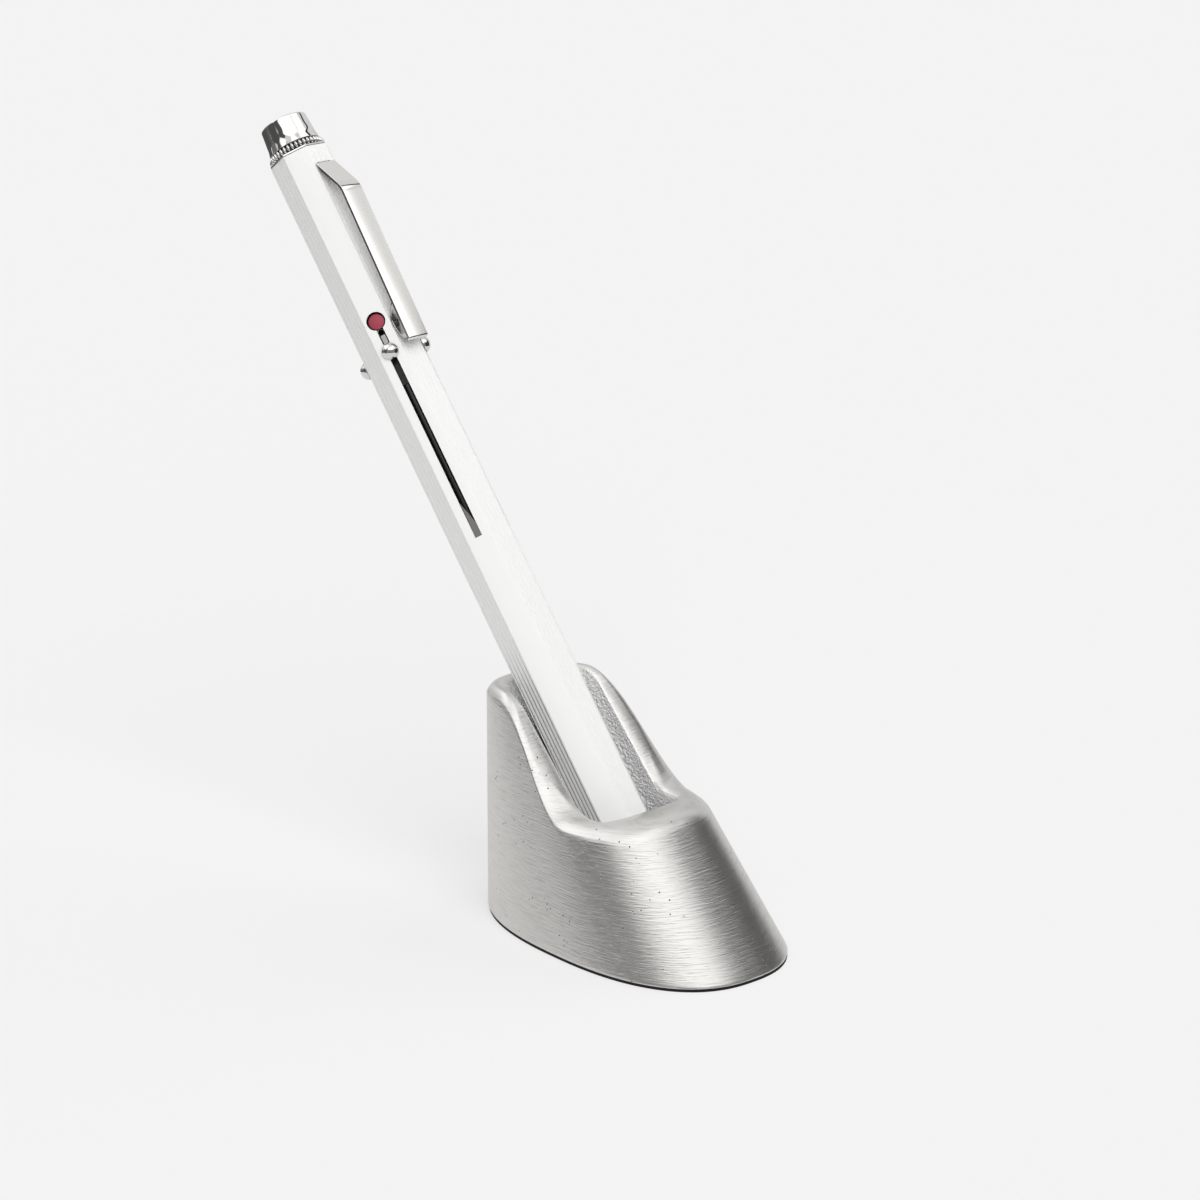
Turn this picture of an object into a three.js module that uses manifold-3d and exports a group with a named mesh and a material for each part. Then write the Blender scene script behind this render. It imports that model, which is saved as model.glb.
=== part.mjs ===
// A cast desk rest with a slanted well, and the four-colour slide pen that stands in it.
// Millimetres, +Z up. The origin is the middle of the foot, on the desk. The low lip of the
// rest faces -Y and the pen leans back towards +Y.
import * as THREE from 'three';
import { mergeVertices } from 'three/addons/utils/BufferGeometryUtils.js';
import Module from 'manifold-3d';

const manifold = await Module();
manifold.setup();

// Rest: outer form
const footLength = 55; // front to back, at the casting's underside
const footWidth = 34.6;
const footSquareness = 2.42; // exponent of the oval, 2 is an ellipse
const footEdge = 0.45; // rounding of the lower edge
const crownHeight = 40; // heights on the rest are measured from the casting's underside
const crownLength = 23;
const crownWidth = 18.6;
const crownSquareness = 2.5;
const crownAhead = 5.4; // the crown's middle lies this far in front of the pen's line

// Rest: the S line of its rim
const lowRim = 20.2; // height of the dip in front of the pen
const rimRise = 15.5; // from the dip up to the back
const riseStart = 2.9; // where the climb begins, front to back
const riseLength = 19;
const frontLipStart = -1;
const frontLipCurl = 0.034; // how fast the front lip rises again
const backSlopeStart = 22;
const backSlopeFall = 0.02;
const lipWidth = 2.7; // the domed lip goes this far across
const lipDrop = 1.3; // and this far down, to a crease in the wall
const lipCrest = 1.1;
const mouthSoftness = 1.9;
const frontLipDrop = 2.6; // in front the lip is a longer round without a crease
const frontLipWidth = 3.8;
const frontMouthSoftness = 0.8;

// Rest: well and pad
const wellHalfWidth = 7.9;
const wellFront = 7.6; // from the pen's line to the front wall, square to the line
const wellSquareness = 5; // exponent of the oval's front half
const wellFloorLine = 8.7; // along the pen's line, from the underside up to the floor
const wellFloorRound = 1.6;
const pointPitDepth = 3.2; // room for a point that is left out
const padThickness = 0.4;
const padInset = 0.2;

// Pen: how it stands
const penLean = 40.389; // degrees from upright, towards +Y
const penLineFront = 9.33; // the pen's line meets the underside this far in front of the middle
const penRoll = 3.1; // degrees, turns the clip a little towards +X

// Pen: barrel
const acrossFlats = 9.8;
const facets = 8;
const noseLength = 9.2;
const barrelLength = 123.9;
const boreRadius = 4.15;
const grooves = 7; // on every second facet
const groovePitch = 0.5;
const grooveWidth = 0.26;
const grooveDepth = 0.13;

// Pen: nose and cap
const noseTipRadius = 3.15;
const noseOpening = 2.5;
const noseShoulder = 4.75;
const noseEdge = 0.2; // small chamfer round the opening
const noseCollar = 0.6; // short straight stretch at the shoulder
const noseThroat = 3; // the hollow narrows to the opening over this length
const noseWall = 0.5;
const spigotWall = 0.4;
const noseSpigot = 5.5;
const plateThickness = 0.3;
const plateAcross = 9.7;
const ringHeight = 1.25;
const ringRadius = 4.85;
const ringTeeth = 40;
const ringToothDepth = 0.24;
const capHeight = 4.85;
const capFootRadius = 4.5;
const capTopRadius = 3.98;
const capSpigot = 1.9;
const capEdge = 0.25;
const capHollow = 0.07; // the cap's side is drawn in by this much at mid height
const capFlare = 0.22; // share of the height in which its foot spreads out

// Pen: slots, windows and knobs
const colours = ['red', 'blue', 'green', 'black'];
const firstSlot = -45; // degrees from the clip, towards +X
const slotWidth = 1.15;
const knobOnCarriage = 5.6; // from the carriage's lower face up to the knob's middle
const windowRise = 5.5; // from the knob up to the window's middle
const windowRadius = 1.55;
const slotLength = 39.2; // from the window's middle to the slot's lower end
const knobRadius = 1.5;
const knobSunk = 0.25; // the ball's middle lies this far under the facet
const stemWidth = 0.76;
const stemLength = 0.9;
const tongueLength = 3;
const tongueDepth = 0.75;
const tongueSunk = 0.25;
const markerSunk = 0.4;
const markerThickness = 0.4;
const travel = 26;

// Pen: refills and what guides them
const refillLength = 67;
const refillRadius = 1.15;
const refillBore = 0.85;
const refillBoreDepth = 5;
const pointLength = 6; // the narrowing writing end
const needleLength = 2.5;
const needleRadius = 0.55;
const ballRadius = 0.3;
const pointOut = 2.5; // how far a point stands out when its knob is down
const pointSpread = 1.72; // from the pen's line to a point
const topSpread = 2.3; // and to the refill's top
const ballLength = 0.25;
const guideStart = 27;
const guideThickness = 2.5;
const blockThickness = 5.5;
const catchBevelLow = 2.4; // the catch's slanted end, above the slot's end
const catchBevelHigh = 6.4;

// Pen: carriages and springs
const carriageWidth = 2.5;
const carriageInner = 1.3;
const carriageOuter = 3.35;
const carriageLength = 8.7;
const spigotRadius = 0.5;
const spigotLength = 3;
const pegRadius = 0.42;
const pegLength = 0.8;
const rootDepth = 0.5; // how far pegs, spigots and stems reach into what carries them
const springRadius = 0.95;
const springWire = 0.3;
const springCurls = 10;
const springSides = 5;
const stepsPerCurl = 8;
const anchorDrop = 6.4; // from the barrel's top edge to the anchor's upper face
const anchorThickness = 1.2;

// Pen: clip
const clipWidth = 4;
const clipThickness = 0.55;
const clipRootDrop = 3.4; // from the barrel's top edge to the clip's root
const clipRamp = 6;
const clipLength = 33.3;
const clipRise = 3.5; // outer face above the facet, at the bend
const clipEndRise = 2.48;
const clipRootEdge = 0.2;
const clipBend = 1; // reach of the rounding at the bend
const clipRoll = 0.4; // the rolled end stands out this far past the flat strip
const clipFootLow = 3.8; // from the clip's end to where its folded foot is lowest
const clipFootJoin = 6.5; // and to where the foot's sheet meets the strip again
const clipFootSheet = 0.35;
const clipTabWidth = 2.2;
const clipTabThickness = 0.8;
const clipHookLength = 1.4;
const clipHookThickness = 0.6;

// Clearances
const seatGap = 0.3; // pen to rest, and plugs to the barrel's bore
const stackGap = 0.1; // flat faces screwed or pressed together
const slideGap = 0.15; // what runs past something
const holeGap = 0.25;
const clipGap = 0.12; // clip and knobs above the facet

// Steps round the curved forms
const restSteps = 72;
const wallSteps = 4;
const lipSteps = 4;
const boreSteps = 32;
const turnedSteps = 36;
const refillSteps = 12;
const pegSteps = 8;
const laneSteps = 8;

// Places that follow from the sizes
const lean = THREE.MathUtils.degToRad(penLean);
const penLine = new THREE.Vector3(0, Math.sin(lean), Math.cos(lean));
const penBack = new THREE.Vector3(0, Math.cos(lean), -Math.sin(lean)); // square to the line
const penFoot = new THREE.Vector3(0, -penLineFront, 0);
const noseStart = wellFloorLine + seatGap; // nose tip, along the pen's line
const facetHeight = acrossFlats / 2;
const facetHalf = facetHeight * Math.tan(Math.PI / facets);
const barrelStart = noseLength + stackGap;
const barrelTop = barrelStart + barrelLength;
const refillTip = travel - pointOut;
const refillTop = refillTip + refillLength;
const refillSlant = Math.atan((topSpread - pointSpread) / refillLength);
const laneHalf = refillRadius + slideGap;
const plugRadius = boreRadius - 0.7 * seatGap;
const carriageStart = refillTop + stackGap;
const carriageTop = carriageStart + carriageLength;
const knobAt = carriageStart + knobOnCarriage;
const windowAt = knobAt + windowRise;
const slotEnd = windowAt - slotLength;
const anchorTop = barrelTop - anchorDrop;
const anchorFoot = anchorTop - anchorThickness;
const clipRoot = barrelTop - clipRootDrop;
const clipEnd = clipRoot - clipLength;

const finishes = {
  castMetal: new THREE.MeshStandardMaterial({ color: 0xb4b3b0, metalness: 1, roughness: 0.38 }),
  padRubber: new THREE.MeshStandardMaterial({ color: 0x161616, metalness: 0, roughness: 0.9 }),
  whitePaint: new THREE.MeshStandardMaterial({ color: 0xf1f1ef, metalness: 0, roughness: 0.35 }),
  chrome: new THREE.MeshStandardMaterial({ color: 0xd8d8d8, metalness: 1, roughness: 0.08 }),
  satinSteel: new THREE.MeshStandardMaterial({ color: 0xc4c2be, metalness: 1, roughness: 0.3 }),
  steel: new THREE.MeshStandardMaterial({ color: 0x9a9a98, metalness: 1, roughness: 0.35 }),
  refillTube: new THREE.MeshStandardMaterial({ color: 0x1c1d1e, metalness: 0, roughness: 0.3 }),
  innerPlastic: new THREE.MeshStandardMaterial({ color: 0x55565a, metalness: 0, roughness: 0.5 }),
  red: new THREE.MeshStandardMaterial({ color: 0xa03040, metalness: 0, roughness: 0.6 }),
  blue: new THREE.MeshStandardMaterial({ color: 0x27408c, metalness: 0, roughness: 0.6 }),
  green: new THREE.MeshStandardMaterial({ color: 0x1f6b45, metalness: 0, roughness: 0.6 }),
  black: new THREE.MeshStandardMaterial({ color: 0x202022, metalness: 0, roughness: 0.6 }),
};

// A closed geometry whose shared corners are one vertex
function welded(geometry) {
  geometry.deleteAttribute('normal');
  geometry.deleteAttribute('uv');
  return mergeVertices(geometry, 1e-5);
}

function solid(geometry) {
  const closed = welded(geometry);
  return new manifold.Manifold(new manifold.Mesh({
    numProp: 3,
    vertProperties: Float32Array.from(closed.attributes.position.array),
    triVerts: Uint32Array.from(closed.index.array),
  }));
}

function fromSolid(body) {
  const mesh = body.getMesh();
  const geometry = new THREE.BufferGeometry();
  geometry.setAttribute('position', new THREE.BufferAttribute(mesh.vertProperties, 3));
  geometry.setIndex(new THREE.BufferAttribute(mesh.triVerts, 1));
  return geometry;
}

function place(parent, name, shape, finish) {
  const geometry = shape.isBufferGeometry ? welded(shape) : fromSolid(shape);
  geometry.computeVertexNormals();
  const mesh = new THREE.Mesh(geometry, finish);
  mesh.name = name;
  parent.add(mesh);
  return mesh;
}

// Box between two corners
function block(low, high) {
  const geometry = new THREE.BoxGeometry(high[0] - low[0], high[1] - low[1], high[2] - low[2]);
  geometry.translate((low[0] + high[0]) / 2, (low[1] + high[1]) / 2, (low[2] + high[2]) / 2);
  return geometry;
}

// Round bar along the pen, from one station to another
function bar(radius, from, to, steps, x = 0, y = 0) {
  const geometry = new THREE.CylinderGeometry(radius, radius, to - from, steps);
  geometry.rotateX(Math.PI / 2);
  geometry.translate(x, y, (from + to) / 2);
  return geometry;
}

// Turned part: the profile is a list of radius and station pairs
function turned(profile, steps) {
  const points = profile.map(([radius, station]) => new THREE.Vector2(radius, station));
  const geometry = new THREE.LatheGeometry(points, steps);
  geometry.rotateX(Math.PI / 2);
  return geometry;
}

function extruded(shape, from, to, curveSegments = 12) {
  const geometry = new THREE.ExtrudeGeometry(shape, {
    depth: to - from,
    bevelEnabled: false,
    curveSegments,
  });
  geometry.translate(0, 0, from);
  return geometry;
}

function roundHole(radius) {
  const hole = new THREE.Path();
  hole.absarc(0, 0, radius, 0, 2 * Math.PI, true);
  return hole;
}

// Skin over a stack of rings with equal counts, closed by a point at either end
function skin(rings, firstPole, lastPole) {
  const count = rings[0].length;
  const positions = [];
  rings.forEach((ring) => ring.forEach((point) => positions.push(...point.toArray())));
  const first = rings.length * count;
  positions.push(...firstPole.toArray(), ...lastPole.toArray());
  const index = [];
  for (let i = 0; i < count; i += 1) {
    const next = (i + 1) % count;
    index.push(first, next, i);
    for (let ring = 0; ring < rings.length - 1; ring += 1) {
      const low = ring * count;
      const high = low + count;
      index.push(low + i, low + next, high + next, low + i, high + next, high + i);
    }
    const last = (rings.length - 1) * count;
    index.push(first + 1, last + i, last + next);
  }
  const geometry = new THREE.BufferGeometry();
  geometry.setAttribute('position', new THREE.Float32BufferAttribute(positions, 3));
  geometry.setIndex(index);
  return geometry;
}

// Height of the rim over a point of its plan, front to back
function rimHeight(y) {
  const climb = THREE.MathUtils.clamp((y - riseStart) / riseLength, 0, 1);
  const eased = climb * climb * (3 - 2 * climb);
  const lip = Math.max(0, frontLipStart - y);
  const back = Math.max(0, y - backSlopeStart);
  return lowRim + rimRise * eased + frontLipCurl * lip * lip - backSlopeFall * back * back;
}

// The outer wall: an oval that shrinks and moves back in step with the height
function outerWall(angle, height) {
  const share = height / crownHeight;
  const crownY = crownHeight * Math.tan(lean) - penLineFront - crownAhead;
  const power = 2 / THREE.MathUtils.lerp(footSquareness, crownSquareness, share);
  const side = Math.sign(Math.cos(angle)) * Math.abs(Math.cos(angle)) ** power;
  const length = Math.sign(Math.sin(angle)) * Math.abs(Math.sin(angle)) ** power;
  return new THREE.Vector3(
    side * THREE.MathUtils.lerp(footWidth, crownWidth, share) / 2,
    crownY * share + length * THREE.MathUtils.lerp(footLength, crownLength, share) / 2,
    height,
  );
}

// The well: an oval bore along the pen's line, close behind the pen and wider in front
const wellBack = (() => {
  const corner = facetHalf + facetHeight * Math.sin(THREE.MathUtils.degToRad(penRoll));
  const reach = facetHeight + seatGap;
  // half depth b and shift s: s + b = wellFront, and b * k - s = reach at the barrel's corner
  const k = Math.sqrt(1 - (corner / wellHalfWidth) ** 2);
  const halfDepth = (reach + wellFront) / (1 + k);
  return { halfDepth, shift: wellFront - halfDepth };
})();

function wellWall(angle, along) {
  const power = Math.sin(angle) > 0 ? 1 : 2 / wellSquareness;
  const side = Math.sign(Math.cos(angle)) * Math.abs(Math.cos(angle)) ** power;
  const depth = Math.sign(Math.sin(angle)) * Math.abs(Math.sin(angle)) ** power;
  return penFoot.clone()
    .addScaledVector(penLine, along)
    .addScaledVector(penBack, wellBack.halfDepth * depth - wellBack.shift)
    .add(new THREE.Vector3(wellHalfWidth * side, 0, 0));
}

// Finds where a wall passes through the rim surface
function meetsRim(wallPoint, low, high) {
  let [under, over] = [low, high];
  for (let turn = 0; turn < 40; turn += 1) {
    const middle = (under + over) / 2;
    const point = wallPoint(middle);
    if (point.z < rimHeight(point.y)) {
      under = middle;
    } else {
      over = middle;
    }
  }
  return (under + over) / 2;
}

// Points of a soft corner between two ends
function softCorner(start, corner, end, steps) {
  return new THREE.QuadraticBezierCurve3(start, corner, end).getPoints(steps);
}

// One section of the rest, from the foot up the wall, over the lip and down into the well
function restSection(angle) {
  const rimAt = meetsRim((height) => outerWall(angle, height), 0, 1.5 * crownHeight);
  const outer = outerWall(angle, rimAt);
  const wellRim = meetsRim((along) => wellWall(angle, along), 0, 2 * crownHeight);
  const inner = wellWall(angle, wellRim);
  const lip = inner.clone().sub(outer);
  const land = lip.clone().normalize();
  const front = THREE.MathUtils.smoothstep(-Math.sin(angle), 0.5, 0.95);
  const side = Math.min(lipWidth, 0.5 * lip.length());
  const across = THREE.MathUtils.lerp(side, frontLipWidth, front);
  const softness = THREE.MathUtils.lerp(mouthSoftness, frontMouthSoftness, front);
  const mouthSoft = Math.min(softness, 0.45 * lip.length());
  const wallTop = rimAt - THREE.MathUtils.lerp(lipDrop, frontLipDrop, front);

  const foot = outerWall(angle, 0);
  const footInset = foot.clone().multiplyScalar(1 - footEdge / foot.length());
  const points = softCorner(footInset, foot, outerWall(angle, footEdge), 2);
  for (let i = 1; i < wallSteps; i += 1) {
    points.push(outerWall(angle, THREE.MathUtils.lerp(footEdge, wallTop, i / wallSteps)));
  }
  const landStart = outer.clone().addScaledVector(land, across);
  const crest = outer.clone().addScaledVector(land, Math.min(lipCrest, across / 2) * (1 - front));
  points.push(...softCorner(outerWall(angle, wallTop), crest, landStart, lipSteps));
  const landEnd = inner.clone().addScaledVector(land, -mouthSoft);
  const wellStart = wellWall(angle, wellRim - mouthSoft);
  points.push(...softCorner(landEnd, inner, wellStart, lipSteps - 1));

  const floorRim = wellWall(angle, wellFloorLine);
  const floorMiddle = penFoot.clone().addScaledVector(penLine, wellFloorLine);
  const inwards = floorMiddle.clone().sub(floorRim).setLength(wellFloorRound);
  const floorEdge = floorRim.clone().add(inwards);
  points.push(...softCorner(wellWall(angle, wellFloorLine + wellFloorRound), floorRim, floorEdge, 2));

  const pitRadius = noseOpening + slideGap;
  const pitPoint = (along) => penFoot.clone()
    .addScaledVector(penLine, along)
    .addScaledVector(penBack, pitRadius * Math.sin(angle))
    .add(new THREE.Vector3(pitRadius * Math.cos(angle), 0, 0));
  points.push(pitPoint(wellFloorLine), pitPoint(wellFloorLine - pointPitDepth));
  return points;
}

function restBody() {
  const sections = [];
  for (let i = 0; i < restSteps; i += 1) {
    sections.push(restSection((i / restSteps) * 2 * Math.PI));
  }
  const rings = sections[0].map((_, ring) => sections.map((section) => section[ring]));
  const pitFloor = penFoot.clone().addScaledVector(penLine, wellFloorLine - pointPitDepth);
  return skin(rings, new THREE.Vector3(), pitFloor).translate(0, 0, padThickness);
}

function basePad() {
  const outline = [];
  for (let i = 0; i < restSteps; i += 1) {
    const foot = outerWall((i / restSteps) * 2 * Math.PI, 0);
    foot.multiplyScalar(1 - padInset / foot.length());
    outline.push(new THREE.Vector2(foot.x, foot.y));
  }
  return extruded(new THREE.Shape(outline), 0, padThickness);
}

// Eight flat sides; the facet under the clip and every second one after it is fluted
function barrelOutline() {
  const outline = new THREE.Shape();
  const spot = (turn, along, height) => [
    height * Math.sin(turn) + along * Math.cos(turn),
    -height * Math.cos(turn) + along * Math.sin(turn),
  ];
  for (let facet = 0; facet < facets; facet += 1) {
    const turn = (facet / facets) * 2 * Math.PI;
    const corner = spot(turn, -facetHalf, facetHeight);
    if (facet === 0) {
      outline.moveTo(...corner);
    } else {
      outline.lineTo(...corner);
    }
    for (let i = 0; facet % 2 === 0 && i < grooves; i += 1) {
      const middle = (i - (grooves - 1) / 2) * groovePitch;
      outline.lineTo(...spot(turn, middle - grooveWidth / 2, facetHeight));
      outline.lineTo(...spot(turn, middle, facetHeight - grooveDepth));
      outline.lineTo(...spot(turn, middle + grooveWidth / 2, facetHeight));
    }
  }
  outline.closePath();
  return outline;
}

// Runs a maker once for each slot, in a frame whose -Y looks out through that slot
function eachSlot(parent, make) {
  colours.forEach((colour, i) => {
    const lane = new THREE.Group();
    lane.rotation.z = THREE.MathUtils.degToRad(firstSlot + (360 / colours.length) * i);
    parent.add(lane);
    make(lane, colour);
  });
}

function turnedCutters(make) {
  return colours.map((_, i) => {
    const cutter = make();
    cutter.rotateZ(THREE.MathUtils.degToRad(firstSlot + (360 / colours.length) * i));
    return cutter;
  });
}

function barrel() {
  const outline = barrelOutline();
  outline.holes.push(roundHole(boreRadius));
  let tube = solid(extruded(outline, barrelStart, barrelTop, boreSteps / 2));
  const outside = -(facetHeight + 1);
  const inside = -(boreRadius - 1);
  const cutters = [
    ...turnedCutters(() => block([-slotWidth / 2, outside, slotEnd], [slotWidth / 2, inside, windowAt])),
    ...turnedCutters(() => {
      const hole = new THREE.CylinderGeometry(windowRadius, windowRadius, inside - outside, 20);
      hole.translate(0, (inside + outside) / 2, windowAt);
      return hole;
    }),
  ];
  const tabHalf = clipTabWidth / 2 + holeGap;
  const tabLow = clipRoot - clipTabThickness - holeGap;
  cutters.push(block([-tabHalf, outside, tabLow], [tabHalf, inside, clipRoot + holeGap]));
  cutters.forEach((cutter) => {
    tube = tube.subtract(solid(cutter));
  });
  return tube;
}

function noseCone() {
  const spigotRadius = boreRadius - seatGap;
  const innerWide = spigotRadius - spigotWall;
  const slope = (noseShoulder - noseTipRadius) / noseLength;
  const boreFoot = (innerWide + noseWall - noseTipRadius) / slope;
  return turned([
    [noseOpening, 0],
    [noseTipRadius - noseEdge, 0],
    [noseTipRadius, noseEdge],
    [noseShoulder, noseLength - noseCollar],
    [noseShoulder, noseLength],
    [spigotRadius, noseLength],
    [spigotRadius, noseLength + noseSpigot],
    [innerWide, noseLength + noseSpigot],
    [innerWide, Math.min(boreFoot, noseLength)],
    [noseTipRadius + slope * noseThroat - noseWall, noseThroat],
    [noseOpening, noseWall],
    [noseOpening, 0],
  ], turnedSteps);
}

function octagon(across) {
  const outline = new THREE.Shape();
  const corner = across / 2 / Math.cos(Math.PI / facets);
  for (let i = 0; i < facets; i += 1) {
    const turn = ((i + 0.5) / facets) * 2 * Math.PI;
    const spot = [corner * Math.cos(turn), corner * Math.sin(turn)];
    if (i === 0) {
      outline.moveTo(...spot);
    } else {
      outline.lineTo(...spot);
    }
  }
  outline.closePath();
  return outline;
}

// Ring with a row of small pointed teeth round it
function toothedRing() {
  const outline = new THREE.Shape();
  for (let i = 0; i < 2 * ringTeeth; i += 1) {
    const radius = i % 2 === 0 ? ringRadius : ringRadius - ringToothDepth;
    const turn = (i / (2 * ringTeeth)) * 2 * Math.PI;
    const spot = [radius * Math.cos(turn), radius * Math.sin(turn)];
    if (i === 0) {
      outline.moveTo(...spot);
    } else {
      outline.lineTo(...spot);
    }
  }
  outline.closePath();
  return outline;
}

function capStack(pen) {
  const spigot = boreRadius - seatGap;
  const plateFoot = barrelTop + stackGap;
  const ringFoot = plateFoot + plateThickness + stackGap;
  const capFoot = ringFoot + ringHeight + stackGap;
  const capTop = capFoot + capHeight;

  const plate = octagon(plateAcross);
  plate.holes.push(roundHole(spigot + slideGap));
  place(pen, 'cap_plate', extruded(plate, plateFoot, plateFoot + plateThickness, 16), finishes.chrome);

  const ring = toothedRing();
  ring.holes.push(roundHole(spigot + slideGap));
  place(pen, 'cap_ring', extruded(ring, ringFoot, ringFoot + ringHeight, 16), finishes.chrome);

  const middle = (capFootRadius + capTopRadius) / 2;
  const flareTop = capFootRadius + (capTopRadius - capFootRadius) * 2 * capFlare;
  place(pen, 'cap', turned([
    [0, barrelTop - capSpigot],
    [spigot, barrelTop - capSpigot],
    [spigot, capFoot],
    [capFootRadius, capFoot],
    [flareTop, capFoot + capFlare * capHeight],
    [middle - capHollow, capFoot + capHeight / 2],
    [capTopRadius, capTop - capEdge],
    [capTopRadius - 0.3 * capEdge, capTop - 0.3 * capEdge],
    [capTopRadius - capEdge, capTop],
    [0, capTop + 0.15 * capEdge],
  ], turnedSteps), finishes.chrome);
}

// Plug across the bore with four lanes for the refills, open to each other in the middle
function lanePlug(laneReach) {
  const outline = new THREE.Shape();
  outline.absarc(0, 0, plugRadius, 0, 2 * Math.PI, false);
  const lanes = new THREE.Path();
  for (let i = 0; i < colours.length; i += 1) {
    const turn = THREE.MathUtils.degToRad(firstSlot + (360 / colours.length) * i);
    const out = [Math.sin(turn), -Math.cos(turn)];
    const side = [Math.cos(turn), Math.sin(turn)];
    const spot = (along, across) => [
      out[0] * along + side[0] * across,
      out[1] * along + side[1] * across,
    ];
    if (i === 0) {
      lanes.moveTo(...spot(laneHalf, -laneHalf));
    } else {
      lanes.lineTo(...spot(laneHalf, -laneHalf));
    }
    for (let step = 0; step <= laneSteps; step += 1) {
      const bend = (step / laneSteps) * Math.PI;
      lanes.lineTo(...spot(laneReach + laneHalf * Math.sin(bend), -laneHalf * Math.cos(bend)));
    }
  }
  lanes.closePath();
  outline.holes.push(lanes);
  return outline;
}

// Distance of a refill's middle from the pen's line, at a station along the pen
function refillSpread(station, slid) {
  return pointSpread + (station - refillTip + slid) * Math.tan(refillSlant);
}

// The block that carries a bevelled catch in the lower end of each slot
function catchBlock() {
  const top = slotEnd - stackGap;
  const reach = refillSpread(top, travel);
  let body = solid(extruded(lanePlug(reach), top - blockThickness, top, 12));
  const rimInner = carriageOuter + 2 * slideGap;
  const rimTop = slotEnd + catchBevelLow - 2 * slideGap;
  const half = slotWidth / 2 - slideGap / 2;
  const outer = facetHeight - tongueSunk;
  turnedCutters(() => {
    const side = new THREE.Shape();
    side.moveTo(-half, slotEnd + stackGap);
    side.lineTo(half, slotEnd + stackGap);
    side.lineTo(half, slotEnd + catchBevelLow);
    side.lineTo(-half, slotEnd + catchBevelHigh);
    side.closePath();
    const finger = new THREE.ExtrudeGeometry(side, {
      depth: outer - plugRadius + slideGap,
      bevelEnabled: false,
    });
    finger.rotateX(Math.PI / 2);
    finger.translate(0, -(plugRadius - slideGap), 0);
    return finger;
  }).forEach((finger) => {
    body = body.add(solid(finger));
  });
  // a flat wall inside the bore joins each catch to the plug and lets the carriage pass
  turnedCutters(() => block(
    [-2 * rootDepth, -(plugRadius - slideGap / 10), top - 2 * rootDepth],
    [2 * rootDepth, -rimInner, rimTop],
  ))
    .forEach((root) => {
      body = body.add(solid(root));
    });
  return body;
}

function springAnchor() {
  let plate = solid(bar(plugRadius, anchorFoot, anchorTop, 24));
  const pegFoot = anchorFoot - pegLength;
  turnedCutters(() => bar(pegRadius, pegFoot, anchorFoot + rootDepth, pegSteps, 0, -topSpread))
    .forEach((peg) => {
      plate = plate.add(solid(peg));
    });
  return plate;
}

// Knob: a domed head on a flat stem, with a tongue that lies in the slot above it
function knob() {
  const ball = new THREE.SphereGeometry(knobRadius, 20, 12);
  ball.rotateX(Math.PI / 2);
  ball.translate(0, -(facetHeight - knobSunk), knobAt);
  const headFoot = -(facetHeight + clipGap);
  const room = 2 * knobRadius;
  const inner = -(carriageOuter + stackGap);
  return solid(ball)
    .intersect(solid(block([-room, -facetHeight - room, knobAt - room], [room, headFoot, knobAt + room])))
    .add(solid(block(
      [-stemWidth / 2, headFoot - rootDepth, knobAt - stemLength / 2],
      [stemWidth / 2, inner, knobAt + stemLength / 2],
    )))
    .add(solid(block(
      [-stemWidth / 2, -(facetHeight - tongueSunk), knobAt],
      [stemWidth / 2, -(facetHeight - tongueSunk - tongueDepth), knobAt + tongueLength],
    )));
}

function carriage() {
  return solid(block(
    [-carriageWidth / 2, -carriageOuter, carriageStart],
    [carriageWidth / 2, -carriageInner, carriageTop],
  ))
    .add(solid(bar(
      spigotRadius,
      carriageStart - spigotLength,
      carriageStart + rootDepth,
      pegSteps,
      0,
      -topSpread,
    )))
    .add(solid(bar(
      pegRadius,
      carriageTop - rootDepth,
      carriageTop + pegLength,
      pegSteps,
      0,
      -topSpread,
    )));
}

function refill() {
  return turned([
    [0, 0],
    [ballRadius, ballLength],
    [needleRadius, needleLength],
    [refillRadius, pointLength],
    [refillRadius, refillLength],
    [refillBore, refillLength],
    [refillBore, refillLength - refillBoreDepth],
    [0, refillLength - refillBoreDepth],
  ], refillSteps);
}

// Return spring: one helix with a short straight leg at each end
function springPath() {
  const foot = carriageTop + stackGap;
  const head = anchorFoot - stackGap;
  const leg = 2 * springWire;
  const points = [];
  const steps = springCurls * stepsPerCurl;
  points.push(new THREE.Vector3(springRadius, 0, foot));
  for (let i = 0; i <= steps; i += 1) {
    const turn = (i / stepsPerCurl) * 2 * Math.PI;
    points.push(new THREE.Vector3(
      springRadius * Math.cos(turn),
      springRadius * Math.sin(turn),
      THREE.MathUtils.lerp(foot + leg, head - leg, i / steps),
    ));
  }
  points.push(new THREE.Vector3(springRadius, 0, head));
  return points;
}

function returnSpring() {
  const path = springPath();
  const rings = path.map((point, i) => {
    const straight = i === 0 || i === path.length - 1;
    const before = path[Math.max(0, i - 1)];
    const after = path[Math.min(path.length - 1, i + 1)];
    const ahead = straight ? new THREE.Vector3(0, 0, 1) : after.clone().sub(before).normalize();
    const outwards = new THREE.Vector3(point.x, point.y, 0).normalize();
    const across = ahead.clone().cross(outwards).normalize();
    const outer = across.clone().cross(ahead).normalize();
    const ring = [];
    for (let side = 0; side < springSides; side += 1) {
      const turn = (side / springSides) * 2 * Math.PI;
      ring.push(point.clone()
        .addScaledVector(outer, (springWire / 2) * Math.cos(turn))
        .addScaledVector(across, (springWire / 2) * Math.sin(turn)));
    }
    return ring;
  });
  const geometry = skin(rings, path[0], path[path.length - 1]);
  geometry.translate(0, -topSpread, 0);
  return geometry;
}

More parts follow.
